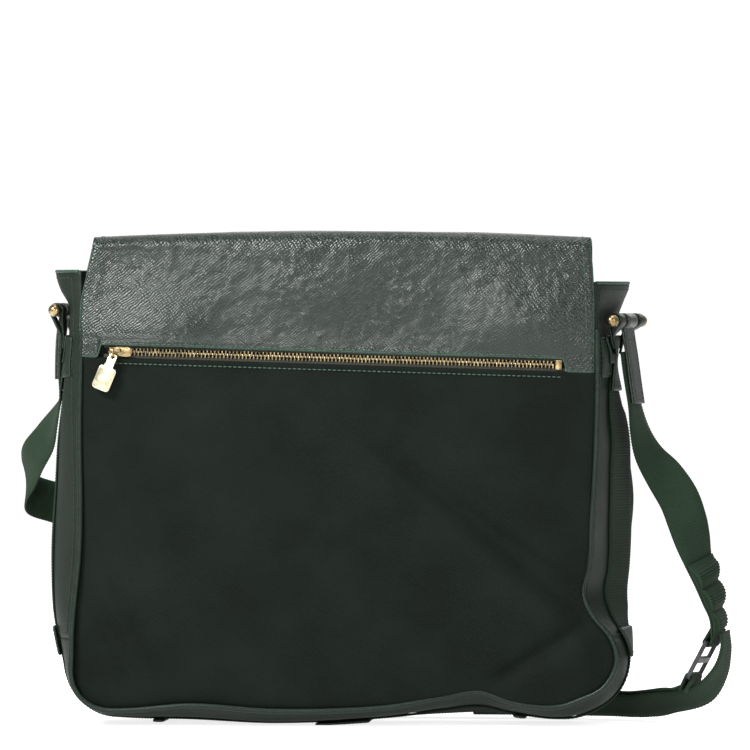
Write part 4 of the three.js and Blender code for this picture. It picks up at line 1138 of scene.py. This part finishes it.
def make_zip_rows():
    """The tapes and their teeth, above and below the zip's middle line."""
    x = np.linspace(*TAPE_ENDS, 170)[None, :]
    rings = [(-0.75, 0.45, 0.8), (-0.35, 0.66, 1.15), (2.2, 0.66, 1.15), (2.75, 0.5, 0.9)]
    shape, faces = pill(rings, 8, 0.55)
    for row, sign, shift in (("upper", 1, 0.5), ("lower", -1, 1.0)):
        h = np.linspace(2.4, 12, 6)[:, None] * sign
        tape = slab(f"zip_{row}_tape", zip_place(x, -43.1, h), zip_place(x, -42.3, h), ZIP_TAPE,
                    np.stack(np.broadcast_arrays(x, h), -1) / 1000)
        done(tape, [f"zip_tape_{row}"])
        places = []
        for k in range(int((ZIP_END - ZIP_START) / TOOTH_PITCH)):
            at = zip_place(ZIP_START + (k + shift) * TOOTH_PITCH, TEETH_Y, 0)
            places.append((at, ZIP_ALONG, np.array([0, 1.0, 0]), ZIP_UP * sign))
        teeth = copies(f"zip_{row}_teeth", shape, faces, places, CHAIN_BRASS, sharp_angle=50)
        done(teeth, [f"zip_teeth_{row}"])


def make_zip_end():
    """The metal stop, and a bar of thread across the end of the zip."""
    place = Matrix.Translation(Vector(zip_place(ZIP_END + 2.6, TEETH_Y, 0))) @ ZIP_TURN @ UPRIGHT
    stop = flat_part("zip_square_stop", [rounded_outline(-2.4, 2.4, -3.6, 3.6, 0.5)], 1.5, 0.4, BRASS, place)
    done(stop, ["zip_end_stop"])
    bar = zip_place(ZIP_END + 8, -45.2, np.linspace(-4.5, 4.5, 12))
    rows = [(bar + (0.35 * k, 0, 0), (0, -1, 0)) for k in (-1, 0, 1)]
    bartack = stitches("zip_end_bartack", rows, TEAL_THREAD, pitch=1.5, length=1.9, radius=0.5)
    done(bartack)


def make_slider():
    """A domed body with a bridge that holds the bail."""
    xs = np.linspace(*SLIDER_ENDS, 22)
    t = (xs - xs[0]) / (xs[-1] - xs[0])
    half = 2.7 + 1.2 * ease(t * 1.25) - 0.5 * ease((t - 0.75) * 4)
    rounding = 0.14  # the part of the half length over which an end is rounded
    past = np.clip(np.abs(t * 2 - 1) - (1 - rounding), 0, 1)
    ends = np.sqrt(np.clip(1 - past**2 / rounding**2, 0.12, 1))
    origins = zip_place(xs, SLIDER_Y, 0)
    rights = np.broadcast_to(ZIP_UP, origins.shape)
    ups = np.broadcast_to(np.array([0, -1.0, 0]), origins.shape)
    circle = ring(1.0, sides=20)
    boxy = np.sign(circle) * np.abs(circle) ** 0.6
    sections = boxy[None] * np.stack([half * ends, ends], 1)[:, None, :]
    body = sweep("zip_slider_body", origins, rights, ups, sections, BRASS, sharp_angle=40)
    arch = [(-3.1, 0), (-3.1, -2.4), (-2.4, -3.6), (-0.8, -4.1), (1, -4.15), (2.9, -4.1), (4.4, -3.6),
            (5.1, -2.4), (5.1, 0)]
    line = spline([(BAIL_X + a, SLIDER_Y + b, 0.6) for a, b in arch], 0.5)
    line = zip_place(line[:, 0], line[:, 1], line[:, 2])
    bridge = tube("zip_slider_bridge", line, 1.1, BRASS, hint=(0, 0, 1), sides=12, radius_b=0.6)
    done(body, ["zip_slider"], "zip_slider")
    done(bridge, [], "zip_slider")


def make_bail_and_puller():
    angle = np.arange(36) * 2 * math.pi / 36
    circle = zip_place(BAIL_X, BAIL_Y + BAIL_RADIUS * np.cos(angle), BAIL_DROP + BAIL_RADIUS * np.sin(angle))
    bail = tube("zip_wire_bail", circle, 0.55, BRASS, hint=(1, 0, 0), closed=True)
    done(bail, ["zip_bail"], "zip_bail")

    hang = Matrix.Translation(Vector(zip_place(BAIL_X, BAIL_Y, BAIL_DROP - BAIL_RADIUS)))
    place = hang @ ZIP_TURN @ Matrix.Rotation(PULLER_TURN, 4, "Y") @ UPRIGHT
    pad = rounded_outline(-6.6, 6.6, -26, -8.2, 2.8)
    neck = [(3.1, -8.2), (3.1, 0.4), (2.1, 1.6), (-2.1, 1.6), (-3.1, 0.4), (-3.1, -8.2)]
    joint = 7  # the pad's outline is opened at its top edge, and the neck is let in there
    outline = pad[:joint] + neck + pad[joint:]
    eye = [(1.25 * math.cos(a), -0.55 + 1.25 * math.sin(a)) for a in np.arange(14) * 2 * math.pi / 14]
    puller = flat_part("zip_puller_tab", [outline, eye[::-1]], 0.8, 0.3, PALE_BRASS, place)
    done(puller, ["zip_puller"], "zip_puller")


# ---- Gussets, webbing and keepers --------------------------------------------------------------------------

CORNER_SEAM_Z = 63
RIGHT_TOP = 319.5  # the right side has sunk, and its top is lower
WEB_TOP_Z = 251
WEB_HALF = WEBBING_WIDTH / 2
WEB_IN, WEB_OUT = 0.3, 1.9
OVER_IN, OVER_OUT = 2.0, 3.9


def make_gussets():
    for name, start, end in (("left", 0, left_at(CORNER_SEAM_Z)),
                             ("bottom", left_at(CORNER_SEAM_Z) + 0.3, right_at(CORNER_SEAM_Z) - 0.3),
                             ("right", right_at(CORNER_SEAM_Z), right_at(RIGHT_TOP))):
        piece = strip(f"gusset_{name}_leather", start, end, GUSSET_HALF_DEPTH, -1.8, 0, GUSSET, 2.5, 41)
        done(piece, [f"gusset_{name}"])

    rows = []
    right_start, right_end = right_at(CORNER_SEAM_Z) + 3, right_at(RIGHT_TOP - 4)
    for start, end in ((4, left_at(CORNER_SEAM_Z) - 3), (right_start, right_end)):
        for y in (-38.5, 38.5):
            rows.append(gusset_row(np.linspace(start, end, 120), y, 0.15))
    for at, top_z in ((left_at, GUSSET_TOP), (right_at, RIGHT_TOP)):
        for z in (CORNER_SEAM_Z + 3, top_z - 5):
            rows.append(gusset_row(at(z), np.linspace(-37, 37, 30), 0.15))
    done(stitches("gusset_stitches", rows, DARK_THREAD))

    # A turned edge along the top of each side, in a lighter green that is a painted highlight.
    for name, s in (("left", 0.2), ("right", right_at(RIGHT_TOP) - 0.2)):
        line = on_gusset(s, np.linspace(-42, 42, 50), -0.6)
        rim = tube(f"gusset_{name}_rim", line, 1.2, EDGE_HIGHLIGHT, hint=(0, 0, 1))
        done(rim)


def make_side_webbing():
    step = RIB_PITCH / 4
    strips = (("side_webbing_left", left_at(WEB_TOP_Z), left_at(CORNER_SEAM_Z) - 0.3),
              ("side_webbing_right", right_at(CORNER_SEAM_Z) + 0.3, right_at(WEB_TOP_Z)),
              ("bottom_webbing", left_at(CORNER_SEAM_Z), right_at(CORNER_SEAM_Z)))
    for node, start, end in strips:
        piece = strip(node + "_band", start, end, WEB_HALF, WEB_IN, WEB_OUT, SIDE_WEBBING, step, 9, 0.2)
        done(piece, [node])


def make_keepers():
    keepers = (("bottom_keeper_left", bottom_at(-134), bottom_at(-127)),
               ("bottom_keeper_middle", bottom_at(-16), bottom_at(22)),
               ("bottom_keeper_right", bottom_at(127), bottom_at(134)),
               ("corner_tab_left", left_at(70), left_at(50)),
               ("corner_tab_right", right_at(50), right_at(70)))
    rows = []
    for node, start, end in keepers:
        piece = strip(node + "_leather", start, end, 21, OVER_IN - 0.1, OVER_OUT, TRIM, 1.2, 21)
        done(piece, [node])
        for y in (-18.3, 18.3):
            rows.append(gusset_row(np.linspace(start + 1.2, end - 1.2, 6), y, OVER_OUT))
        if end - start > 12:
            for s in (start + 2.4, end - 2.4):
                rows.append(gusset_row(s, np.linspace(-17.5, 17.5, 12), OVER_OUT))
    done(stitches("keeper_stitches", rows, DARK_THREAD, pitch=3.0, length=2.2))


# ---- Bars, anchors and strap tabs --------------------------------------------------------------------------

class Bar:
    """A side bar, which may be turned a little on its gusset."""

    def __init__(self, name, x, z, side, turn, at):
        self.name, self.x, self.z, self.side, self.at = name, x, z, side, at
        self.axis = np.array([math.sin(-turn), math.cos(turn), 0.0])
        self.across = np.array([math.cos(turn), math.sin(turn), 0.0])

    def place(self, across, along, up):
        """Points given across the bar, along it and above it."""
        across, along, up = np.broadcast_arrays(*(np.asarray(a, float) for a in (across, along, up)))
        return (np.array([self.x, 0, self.z]) + across[..., None] * self.across + along[..., None] * self.axis
                + up[..., None] * np.array([0, 0, 1.0]))


BARS = (Bar("left", -201.4, 299.5, -1, math.radians(-6), left_at),
        Bar("right", 208, 292, 1, math.radians(-16), right_at))
BALL_Y = 34
BALL_RADIUS = 4.5
COLLAR = ((3.6, 3.7), (4.3, 3.9), (5.0, 3.7))  # how far in from the ball's centre, and the radius there


def turned(name, bar, profile, look):
    """A turned part on a bar's axis; the profile is (place along the bar, radius)."""
    profile = np.array(profile, float)
    origins = bar.place(0, profile[:, 0], 0)
    rights = np.broadcast_to(bar.across, origins.shape)
    ups = np.broadcast_to(np.cross(bar.axis, bar.across), origins.shape)
    sections = ring(1.0, sides=28)[None] * profile[:, 1][:, None, None]
    return sweep(name, origins, rights, ups, sections, look, sharp_angle=40)


def make_bars():
    for bar in BARS:
        rod = turned(f"{bar.name}_bar_rod", bar, [(-30, 2.6), (-29.6, 3), (29.6, 3), (30, 2.6)], BRASS)
        done(rod, [f"bar_{bar.name}"])
        for end, sign in (("rear", -1), ("front", 1)):
            angles = np.linspace(0.06, math.pi - 0.72, 22)
            ball = [(sign * (BALL_Y + BALL_RADIUS * math.cos(a)), BALL_RADIUS * math.sin(a)) for a in angles]
            collar = [(sign * (BALL_Y - inward), radius) for inward, radius in COLLAR]
            piece = turned(f"{bar.name}_{end}_ball", bar, ball + collar, BRASS)
            done(piece, [f"ball_{bar.name}_{end}"])


def make_anchor_loop(bar, end, along):
    """A leather loop over the bar, with its front foot and its back end on the gusset."""
    foot_y = along * bar.axis[1]
    foot = [on_gusset(bar.at(z), foot_y, depth) for z, depth in ((272, 4.6), (279, 4.8))]
    back = [on_gusset(bar.at(z), foot_y, depth) for z, depth in ((281, 6.8), (275, 6.4), (268, 5.6))]
    angles = np.radians(np.linspace(200, -20, 12))
    over = [bar.place(bar.side * 4.6 * math.cos(a), along, 4.6 * math.sin(a)) for a in angles]
    line = spline(foot + over + back, 0.9)
    down = ease((line[:, 2] - 280) / 8)[:, None]
    hints = np.array([0, 1.0, 0]) * (1 - down) + bar.axis * down
    done(flat_band(f"{bar.name}_{end}_loop", line, hints, 12, 1.8, TRIM))


def make_anchors():
    rows = []
    for bar in BARS:
        at = bar.at
        low, high = sorted((at(WEB_TOP_Z + 0.6), at(280)))
        patch = strip(f"{bar.name}_anchor_patch", low, high, 38, 0.3, 1.8, TRIM, 2, 27)
        done(patch, [f"anchor_patch_{bar.name}"])
        for z in (WEB_TOP_Z + 3, 277):
            rows.append(gusset_row(at(z), np.linspace(-36, 36, 30), 1.8))
        low, high = sorted((at(262), at(281)))
        fork = strip(f"{bar.name}_anchor_fork", low, high, 28.5, OVER_IN, OVER_OUT, TRIM, 1.5, 25)
        low, high = sorted((at(WEB_TOP_Z - 9), at(268)))
        stem = strip(f"{bar.name}_anchor_stem", low, high, 17, OVER_OUT - 1.5, OVER_OUT + 0.5, TRIM, 1.5, 17)
        done(fork, [f"bar_anchor_{bar.name}"])
        done(stem)
        for z in (WEB_TOP_Z - 6, WEB_TOP_Z - 3):
            rows.append(gusset_row(at(z), np.linspace(-15, 15, 12), OVER_OUT + 0.5))
        make_anchor_loop(bar, "rear", -22.5)
        make_anchor_loop(bar, "front", 22.5)
    done(stitches("anchor_stitches", rows, DARK_THREAD))


# Each tab as points of its middle line, across the bar and above it, as in the CAD.
TAB_LINES = {
    "right": [(0.4, -5.2), (1.1, -8), (2, -14), (4, -26), (6.4, -43), (9, -60)],
    "left": [(-0.4, -5.2), (-1.2, -10), (-2.4, -18), (-3, -27), (-3.4, -40), (-3.5, -50)],
}
TAB_WIDTH = 22


def make_tabs():
    for bar in BARS:
        middle = spline(TAB_LINES[bar.name], 1.5)
        along = np.gradient(middle, axis=0)
        along /= np.linalg.norm(along, axis=1)[:, None]
        normal = np.stack([-along[:, 1], along[:, 0]], 1) * bar.side
        gap = 0.82
        outer = middle + normal * gap
        inner = middle - normal * gap
        angles = np.radians(np.linspace(-38, 218, 16))
        over = np.stack([bar.side * 4.7 * np.cos(angles), 4.7 * np.sin(angles)], 1)
        flat = spline(np.concatenate([outer[::-1], over, inner]), 0.9)
        line = bar.place(flat[:, 0], 0, flat[:, 1])
        # The tab's grey colour is painted sheen.
        band = flat_band(f"{bar.name}_tab_leather", line, bar.axis, TAB_WIDTH, 1.6, TAB_SHEEN)
        body = f"strap_tab_{bar.name}"
        done(band, [body], body)
        rows = []
        face = middle + normal * (gap + 0.8)
        edge = TAB_WIDTH / 2 - 2
        for y in (-edge, edge):
            rows.append((bar.place(face[4:-2, 0], y, face[4:-2, 1]), bar.across * bar.side))
        for k in (6, -3):
            y = np.linspace(-edge, edge, 8)
            rows.append((bar.place(face[k, 0], y, face[k, 1]), bar.across * bar.side))
        done(stitches(f"{bar.name}_tab_stitches", rows, DARK_THREAD, 3.0, 2.3), [], body)


# ---- Inside and front --------------------------------------------------------------------------------------

LEFT_LIP, RIGHT_LIP = 323, 315  # where the top edges of the front and the linings meet the seams


def make_zip_pocket():
    grid = rounded_grid(-168, 160, 60, 288, 12, 50, 70, 2)
    outer = -40.4 + 0.2 * ripple(grid[..., 0], grid[..., 1], 60, 3)
    done(level_slab("zip_pocket_cloth", grid, outer, -39.4, LINING), ["zip_pocket_bag"])


def make_linings():
    for name, sign, line in (("back", -1, held_rear_seam), ("front", 1, front_seam)):
        grid = patch_inside(lambda s: line(s, LINING_INSET), left_at(LEFT_LIP), right_at(RIGHT_LIP), straight,
                            60, 90)
        soft = 0.5 * ripple(grid[..., 0], grid[..., 1], 70, 5 + sign) - 0.5
        outer = sign * (WALL - 0.2 + soft * 0.5)
        piece = level_slab(f"{name}_lining_cloth", grid, outer, sign * (WALL + 0.8), LINING)
        done(piece, [f"lining_{name}"])

    s = np.linspace(left_at(LEFT_LIP), right_at(RIGHT_LIP), 260)[:, None]
    y = np.linspace(-WALL + 0.6, WALL - 0.6, 24)[None, :]
    x, z, out_x, out_z = seam(s)
    v = y / WALL
    inward = sunk(s, v) + 0.6 * ripple(s, y, 40, 4) * (1 - v**2)
    faces = []
    for depth in (6.9, 6.0):
        push = depth + inward
        faces.append(np.stack(np.broadcast_arrays(x - out_x * push, y, z - out_z * push), -1))
    uv = np.stack(np.broadcast_arrays(y, s), -1) / 1000
    done(slab("gusset_lining_cloth", *faces, LINING, uv), ["lining_gusset"])


def make_inner_pocket():
    grid = rounded_grid(-90, 90, 120, 262, 8, 40, 50, 1)
    outer = -WALL + 1.7 + 0.3 * ripple(grid[..., 0], grid[..., 1], 60, 2)
    done(level_slab("inner_pocket_cloth", grid, outer, -WALL + 0.4, LINING), ["inner_pocket"])
    half = [(87.5, 260), (87.5, 126), (82, 122.5)]
    edge = [(-x, z) for x, z in half] + half[::-1]
    line = np.array([(x, -WALL + 2.2, z) for x, z in edge])
    done(stitches("inner_pocket_stitches", [(resample(line, 2), (0, 1, 0))], DARK_THREAD))
    hem = np.array([(x, -WALL + 2.3, 256.0) for x in np.linspace(-88, 88, 30)])
    done(stitches("inner_pocket_hem", [(hem, (0, 1, 0))], DARK_THREAD))


SNAP_X, SNAP_Z, SNAP_RADIUS = 100, 120, 8


def snap(name, x, y_low, y_high, look, body):
    span = y_high - y_low
    profile = ((0, 7.2), (0.12, SNAP_RADIUS), (0.6, SNAP_RADIUS), (0.85, 7.4), (1, 6.2))
    shape, faces = pill([(t * span, radius, radius) for t, radius in profile], 32)
    axes = (np.array([1.0, 0, 0]), np.array([0, 0, 1.0]), np.array([0, 1.0, 0]))
    places = [(np.array([x, y_low, SNAP_Z]), *axes)]
    piece = copies(name + "_disc", shape, faces, places, look, sharp_angle=50)
    done(piece, [name], body)


def make_front_panel():
    grid = patch_inside(lambda s: front_seam(s, PANEL_INSET), left_at(LEFT_LIP), right_at(RIGHT_LIP),
                        straight, 90, 130)
    soft = 0.45 * ripple(grid[..., 0], grid[..., 1], 80, 7) - 0.5
    panel = level_slab("front_panel_twill", grid, PANEL_OUT + soft * 0.6, PANEL_OUT - 2.2, TWILL)
    done(panel, ["front_panel"])
    x, z = front_seam(np.linspace(left_at(GUSSET_TOP), right_at(RIGHT_TOP), 400))
    line = np.stack([x, np.full_like(x, SEAM_Y), z], -1)
    done(tube("front_piping_cord", line, PIPING_RADIUS, PIPING), ["front_piping"])


def make_front_pocket():
    back = PANEL_OUT + 0.3
    grid = rounded_grid(-150, 150, 66, 236.2, 14, 60, 100, 0.5)
    soft = 0.15 * ripple(grid[..., 0], grid[..., 1], 50, 9)
    done(level_slab("front_pocket_twill", grid, back + 1.4 + soft, back, TWILL), ["front_pocket"])
    grid = rounded_grid(-150, 150, 235.6, 250, 1, 14, 100)
    binding = level_slab("front_pocket_binding", grid, back + 1.7, back + 0.1, TRIM)
    done(binding, ["front_pocket_trim"])
    half = [(147.5, 248), (147.5, 78), (139, 68.5)]
    edge = [(-x, z) for x, z in half] + half[::-1]
    around = resample(np.array([(x, back + 1.7, z) for x, z in edge]), 2)
    along = np.array([(x, back + 1.8, 238.2) for x in np.linspace(-147, 147, 40)])
    rows = [(around, (0, 1, 0)), (along, (0, 1, 0))]
    done(stitches("front_pocket_stitches", rows, GREEN_THREAD))


def make_snaps():
    for name, x in (("left", -SNAP_X), ("right", SNAP_X)):
        snap(f"snap_base_{name}", x, 47.25, 48.95, BRASS, "shell")
        snap(f"snap_cap_{name}", x, 51.25, 49.3, BRASS, "flap_front")


# ---- Yoke and flap: one piece of leather over the top ------------------------------------------------------

# The free edges, at heights on the rear face. The leather sits a little askew, further right at the top.
LEFT_EDGE = [(262, -184.5), (291, -184.9), (304, -184.2), (327, -179.5), (352, -175)]
RIGHT_EDGE = [(262, 185.6), (300, 185.6), (327, 184.4), (352, 182.6)]
FRONT_NARROWER = 2.5  # the front's edges lie this far inside the fold's
FOLD_RADIUS = 9.0
FLAP_TOP_OUT = FLAP_TOP_Z + 1.4  # the height of the leather's outside on the top
YOKE_CUT_Z = 266  # where the path begins; the lower edge is then bent to follow the zip
CROWN = 4.5  # the top stands this much higher in the middle


def flap_path():
    """The leather's outer face as (Y, Z), from the zip over the top and down the front."""
    rear_y, front_y, top_z = -PANEL_OUT - 0.6, FLAP_FRONT_Y + 1.1, FLAP_TOP_OUT
    rear = [(rear_y, z) for z in np.linspace(YOKE_CUT_Z, top_z - FOLD_RADIUS, 42)]
    first = [(rear_y + FOLD_RADIUS * (1 - math.cos(a)), top_z - FOLD_RADIUS * (1 - math.sin(a)))
             for a in np.radians(np.linspace(8, 90, 10))]
    top = [(y, top_z) for y in np.linspace(rear_y + FOLD_RADIUS + 2, front_y - FOLD_RADIUS - 2, 41)]
    second = [(front_y - FOLD_RADIUS + FOLD_RADIUS * math.sin(a), top_z - FOLD_RADIUS * (1 - math.cos(a)))
              for a in np.radians(np.linspace(0, 82, 10))]
    corner_z = FLAP_LOW_Z + FLAP_CORNER_RADIUS
    front = [(front_y, z) for z in np.linspace(top_z - FOLD_RADIUS - 1, corner_z, 70)]
    low = [(front_y, corner_z - FLAP_CORNER_RADIUS * math.sin(a)) for a in np.radians(np.linspace(4, 90, 22))]
    return np.array(rear + first + top + second + front + low)


WINDOW_LEFT, WINDOW_RIGHT = -169.5, 163.5  # the zip's window in the yoke
WINDOW_CORNER = 3.5
YOKE_SEAM = -4.9  # beyond the window the yoke goes down to the fabric, this far from the zip's middle line


def yoke_edge(x):
    """The yoke's lower edge, as a height over the zip's middle line."""
    beyond = ease((WINDOW_LEFT - x) / WINDOW_CORNER) + ease((x - WINDOW_RIGHT) / WINDOW_CORNER)
    return YOKE_ABOVE_ZIP + (YOKE_SEAM - YOKE_ABOVE_ZIP) * beyond


def flap_grid():
    """The leather's outer face as a grid of points, its UVs, and the path it follows."""
    path = flap_path()
    y, z = path[:, :1], path[:, 1:]
    steps = np.linalg.norm(np.diff(path, axis=0), axis=1)
    length = np.concatenate([[0], np.cumsum(steps)])
    rear = path[:, 0] < -PANEL_OUT + 8
    front = path[:, 0] > FLAP_FRONT_Y
    inward = FRONT_NARROWER * ease((path[:, 0] + SEAM_Y) / (2 * SEAM_Y))
    left = keyed(LEFT_EDGE, np.where(rear, path[:, 1], FLAP_TOP_Z)) + inward
    right = keyed(RIGHT_EDGE, np.where(rear, path[:, 1], FLAP_TOP_Z)) - inward
    cut = np.clip(FLAP_CORNER_RADIUS - (path[:, 1] - FLAP_LOW_Z), 0, None) * front
    corner = FLAP_CORNER_RADIUS - np.sqrt(np.clip(FLAP_CORNER_RADIUS**2 - cut**2, 0, None))
    left, right = left + corner, right - corner
    middle, half = (left + right)[:, None] / 2, (right - left)[:, None] / 2
    # More columns stand where the lower edge steps down at the window's ends.
    steps_down = (WINDOW_LEFT - 1.7, WINDOW_RIGHT + 1.7)
    near_ends = [np.linspace(at - 4, at + 4, 9) / half[0] for at in steps_down]
    u = np.unique(np.concatenate([np.linspace(-1, 1, 140), *near_ends]))[None, :]
    x = middle + half * u
    near_top = ease((z - 318) / 34)
    crown = CROWN * (1 - (x / 182) ** 2) * near_top
    rear_w = rear[:, None].astype(float)
    lip = rear_w * ease((284 - z) / 18)
    z = z + crown + lip * (zip_height(x) + yoke_edge(x) - YOKE_CUT_Z) + 0 * x
    soft = 0.9 * ripple(x, z, 120, 4) + 0.25 * ripple(x, z, 38, 6)
    # Broad soft bellies near both lower corners of the yoke, and one left of its middle.
    belly = (5.2 * bump_along(np.hypot((x + 128) * 0.62, z - 286), 24)
             + 5.0 * bump_along(np.hypot((x - 140) * 0.6, z - 292), 26)
             + 1.6 * bump_along(np.hypot((x + 30) * 0.6, z - 316), 22)
             - 1.4 * bump_along(np.hypot((x - 20) * 0.4, z - 286), 18))
    held = ease((z - 262) / 14)
    y = y + 0 * x - rear_w * (soft * 0.7 + belly) * held * (z < 345) + front[:, None] * (soft * 0.6 + 0.6)
    z = z + (~rear & ~front)[:, None] * soft * 0.35
    grid = np.stack([x, y, z], -1)
    uv = np.stack([x, np.broadcast_to(length[:, None], x.shape)], -1) / 1000
    return grid, uv, path


REAR_FOLD = ((0, -SEAM_Y, 336), (0, -SEAM_Y + 17, 353))
FRONT_FOLD = ((0, FLAP_FRONT_Y - 16, 353), (0, FLAP_FRONT_Y, 336))


def make_flap():
    """Two pieces that meet on the top, each with stitches and with rims whose lighter colour is a painted
    highlight along the edges.
    """
    grid, uv, path = flap_grid()
    normal = grid_normals(grid)
    if normal[5, 40, 1] > 0:
        normal = -normal
    on_top = np.abs(path[:, 1] - FLAP_TOP_OUT) < 0.01
    split = int(np.flatnonzero(on_top)[on_top.sum() // 2])
    thickness = np.where(path[:, 1] < 300, 2.0, 3.0)[:, None, None]
    inner = grid - normal * thickness
    pieces = (
        ("yoke_and_flap_top", slice(0, split + 1), ("back_yoke", "flap_top", "flap_top_lining"),
         ("shell", "flap_top", *REAR_FOLD)),
        ("flap_front_leather", slice(split, None), ("flap_front", "flap_front_lining"),
         ("flap_top", "flap_front", *FRONT_FOLD)),
    )
    for name, part, nodes, (a, b, start, end) in pieces:
        piece = slab(name, grid[part], inner[part], GRAINED, uv[part], 0.35, LINING, 60)
        done(piece, nodes, None)
        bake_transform(piece)
        thread = []
        for k, (column, sewn_column) in enumerate(((0, 2), (-1, -3))):
            out = normal[part, column]
            thread.append((grid[part, sewn_column] + out * 0.25, out))
            # The rims' lighter colour is a painted highlight along the edges.
            rim = tube(f"{name}_rim_{k}", grid[part, column] - out * 0.8, 0.8, EDGE_HIGHLIGHT, hint=(0, 1, 1), sides=8)
            done(rim, [], None)
            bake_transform(rim)
        if name.startswith("yoke"):
            row = grid[1] + normal[1] * 0.2
            over = (row[:, 0] > WINDOW_LEFT + 3) & (row[:, 0] < WINDOW_RIGHT - 3)
            thread = [(line[6:], out[6:]) for line, out in thread] + [(row[over], normal[1, over])]
            # The lip's lighter colour is the same painted highlight.
            lip = tube("yoke_lip", grid[0] + (0, 0.3, 0.65), 0.65, EDGE_HIGHLIGHT, sides=8)
            done(lip)
        else:
            thread.append((grid[-9, 8:-8] + normal[-9, 8:-8] * 0.2, normal[-9, 8:-8]))
        sewn = stitches(f"{name}_stitches", thread, GREEN_THREAD, 4.0, 3.0, 0.38)
        done(sewn, [], None)
        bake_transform(sewn)


BOARD_HALF = (160, 36)
BOARD_DEPTH = 9.5  # from the leather's outside to the board
BOARD_THICKNESS = 2.4


def make_board():
    """The stiffener in the bottom, which has lifted with the slumped rear seam."""
    s = np.linspace(bottom_at(-BOARD_HALF[0]), bottom_at(BOARD_HALF[0]), 90)[:, None]
    y = np.linspace(-BOARD_HALF[1], BOARD_HALF[1], 20)[None, :]
    x, z, _, _ = seam(s)
    lift = bow(s, y / GUSSET_HALF_DEPTH) + sunk(s, y / WALL)
    under = z - BOTTOM_BOW + BOARD_DEPTH + (lift - BOTTOM_BOW).clip(0)
    grids = [np.stack(np.broadcast_arrays(x, y, under + rise), -1) for rise in (0, BOARD_THICKNESS)]
    uv = np.stack(np.broadcast_arrays(y, s), -1) / 1000
    done(slab("stiff_bottom_board", *grids, BOARD, uv), ["bottom_board"])


make_rear_panel()
make_zip_rows()
make_zip_end()
make_slider()
make_bail_and_puller()
make_gussets()
make_side_webbing()
make_keepers()
make_bars()
make_anchors()
make_tabs()
make_zip_pocket()
make_linings()
make_inner_pocket()
make_front_panel()
make_front_pocket()
make_snaps()
make_flap()
make_board()
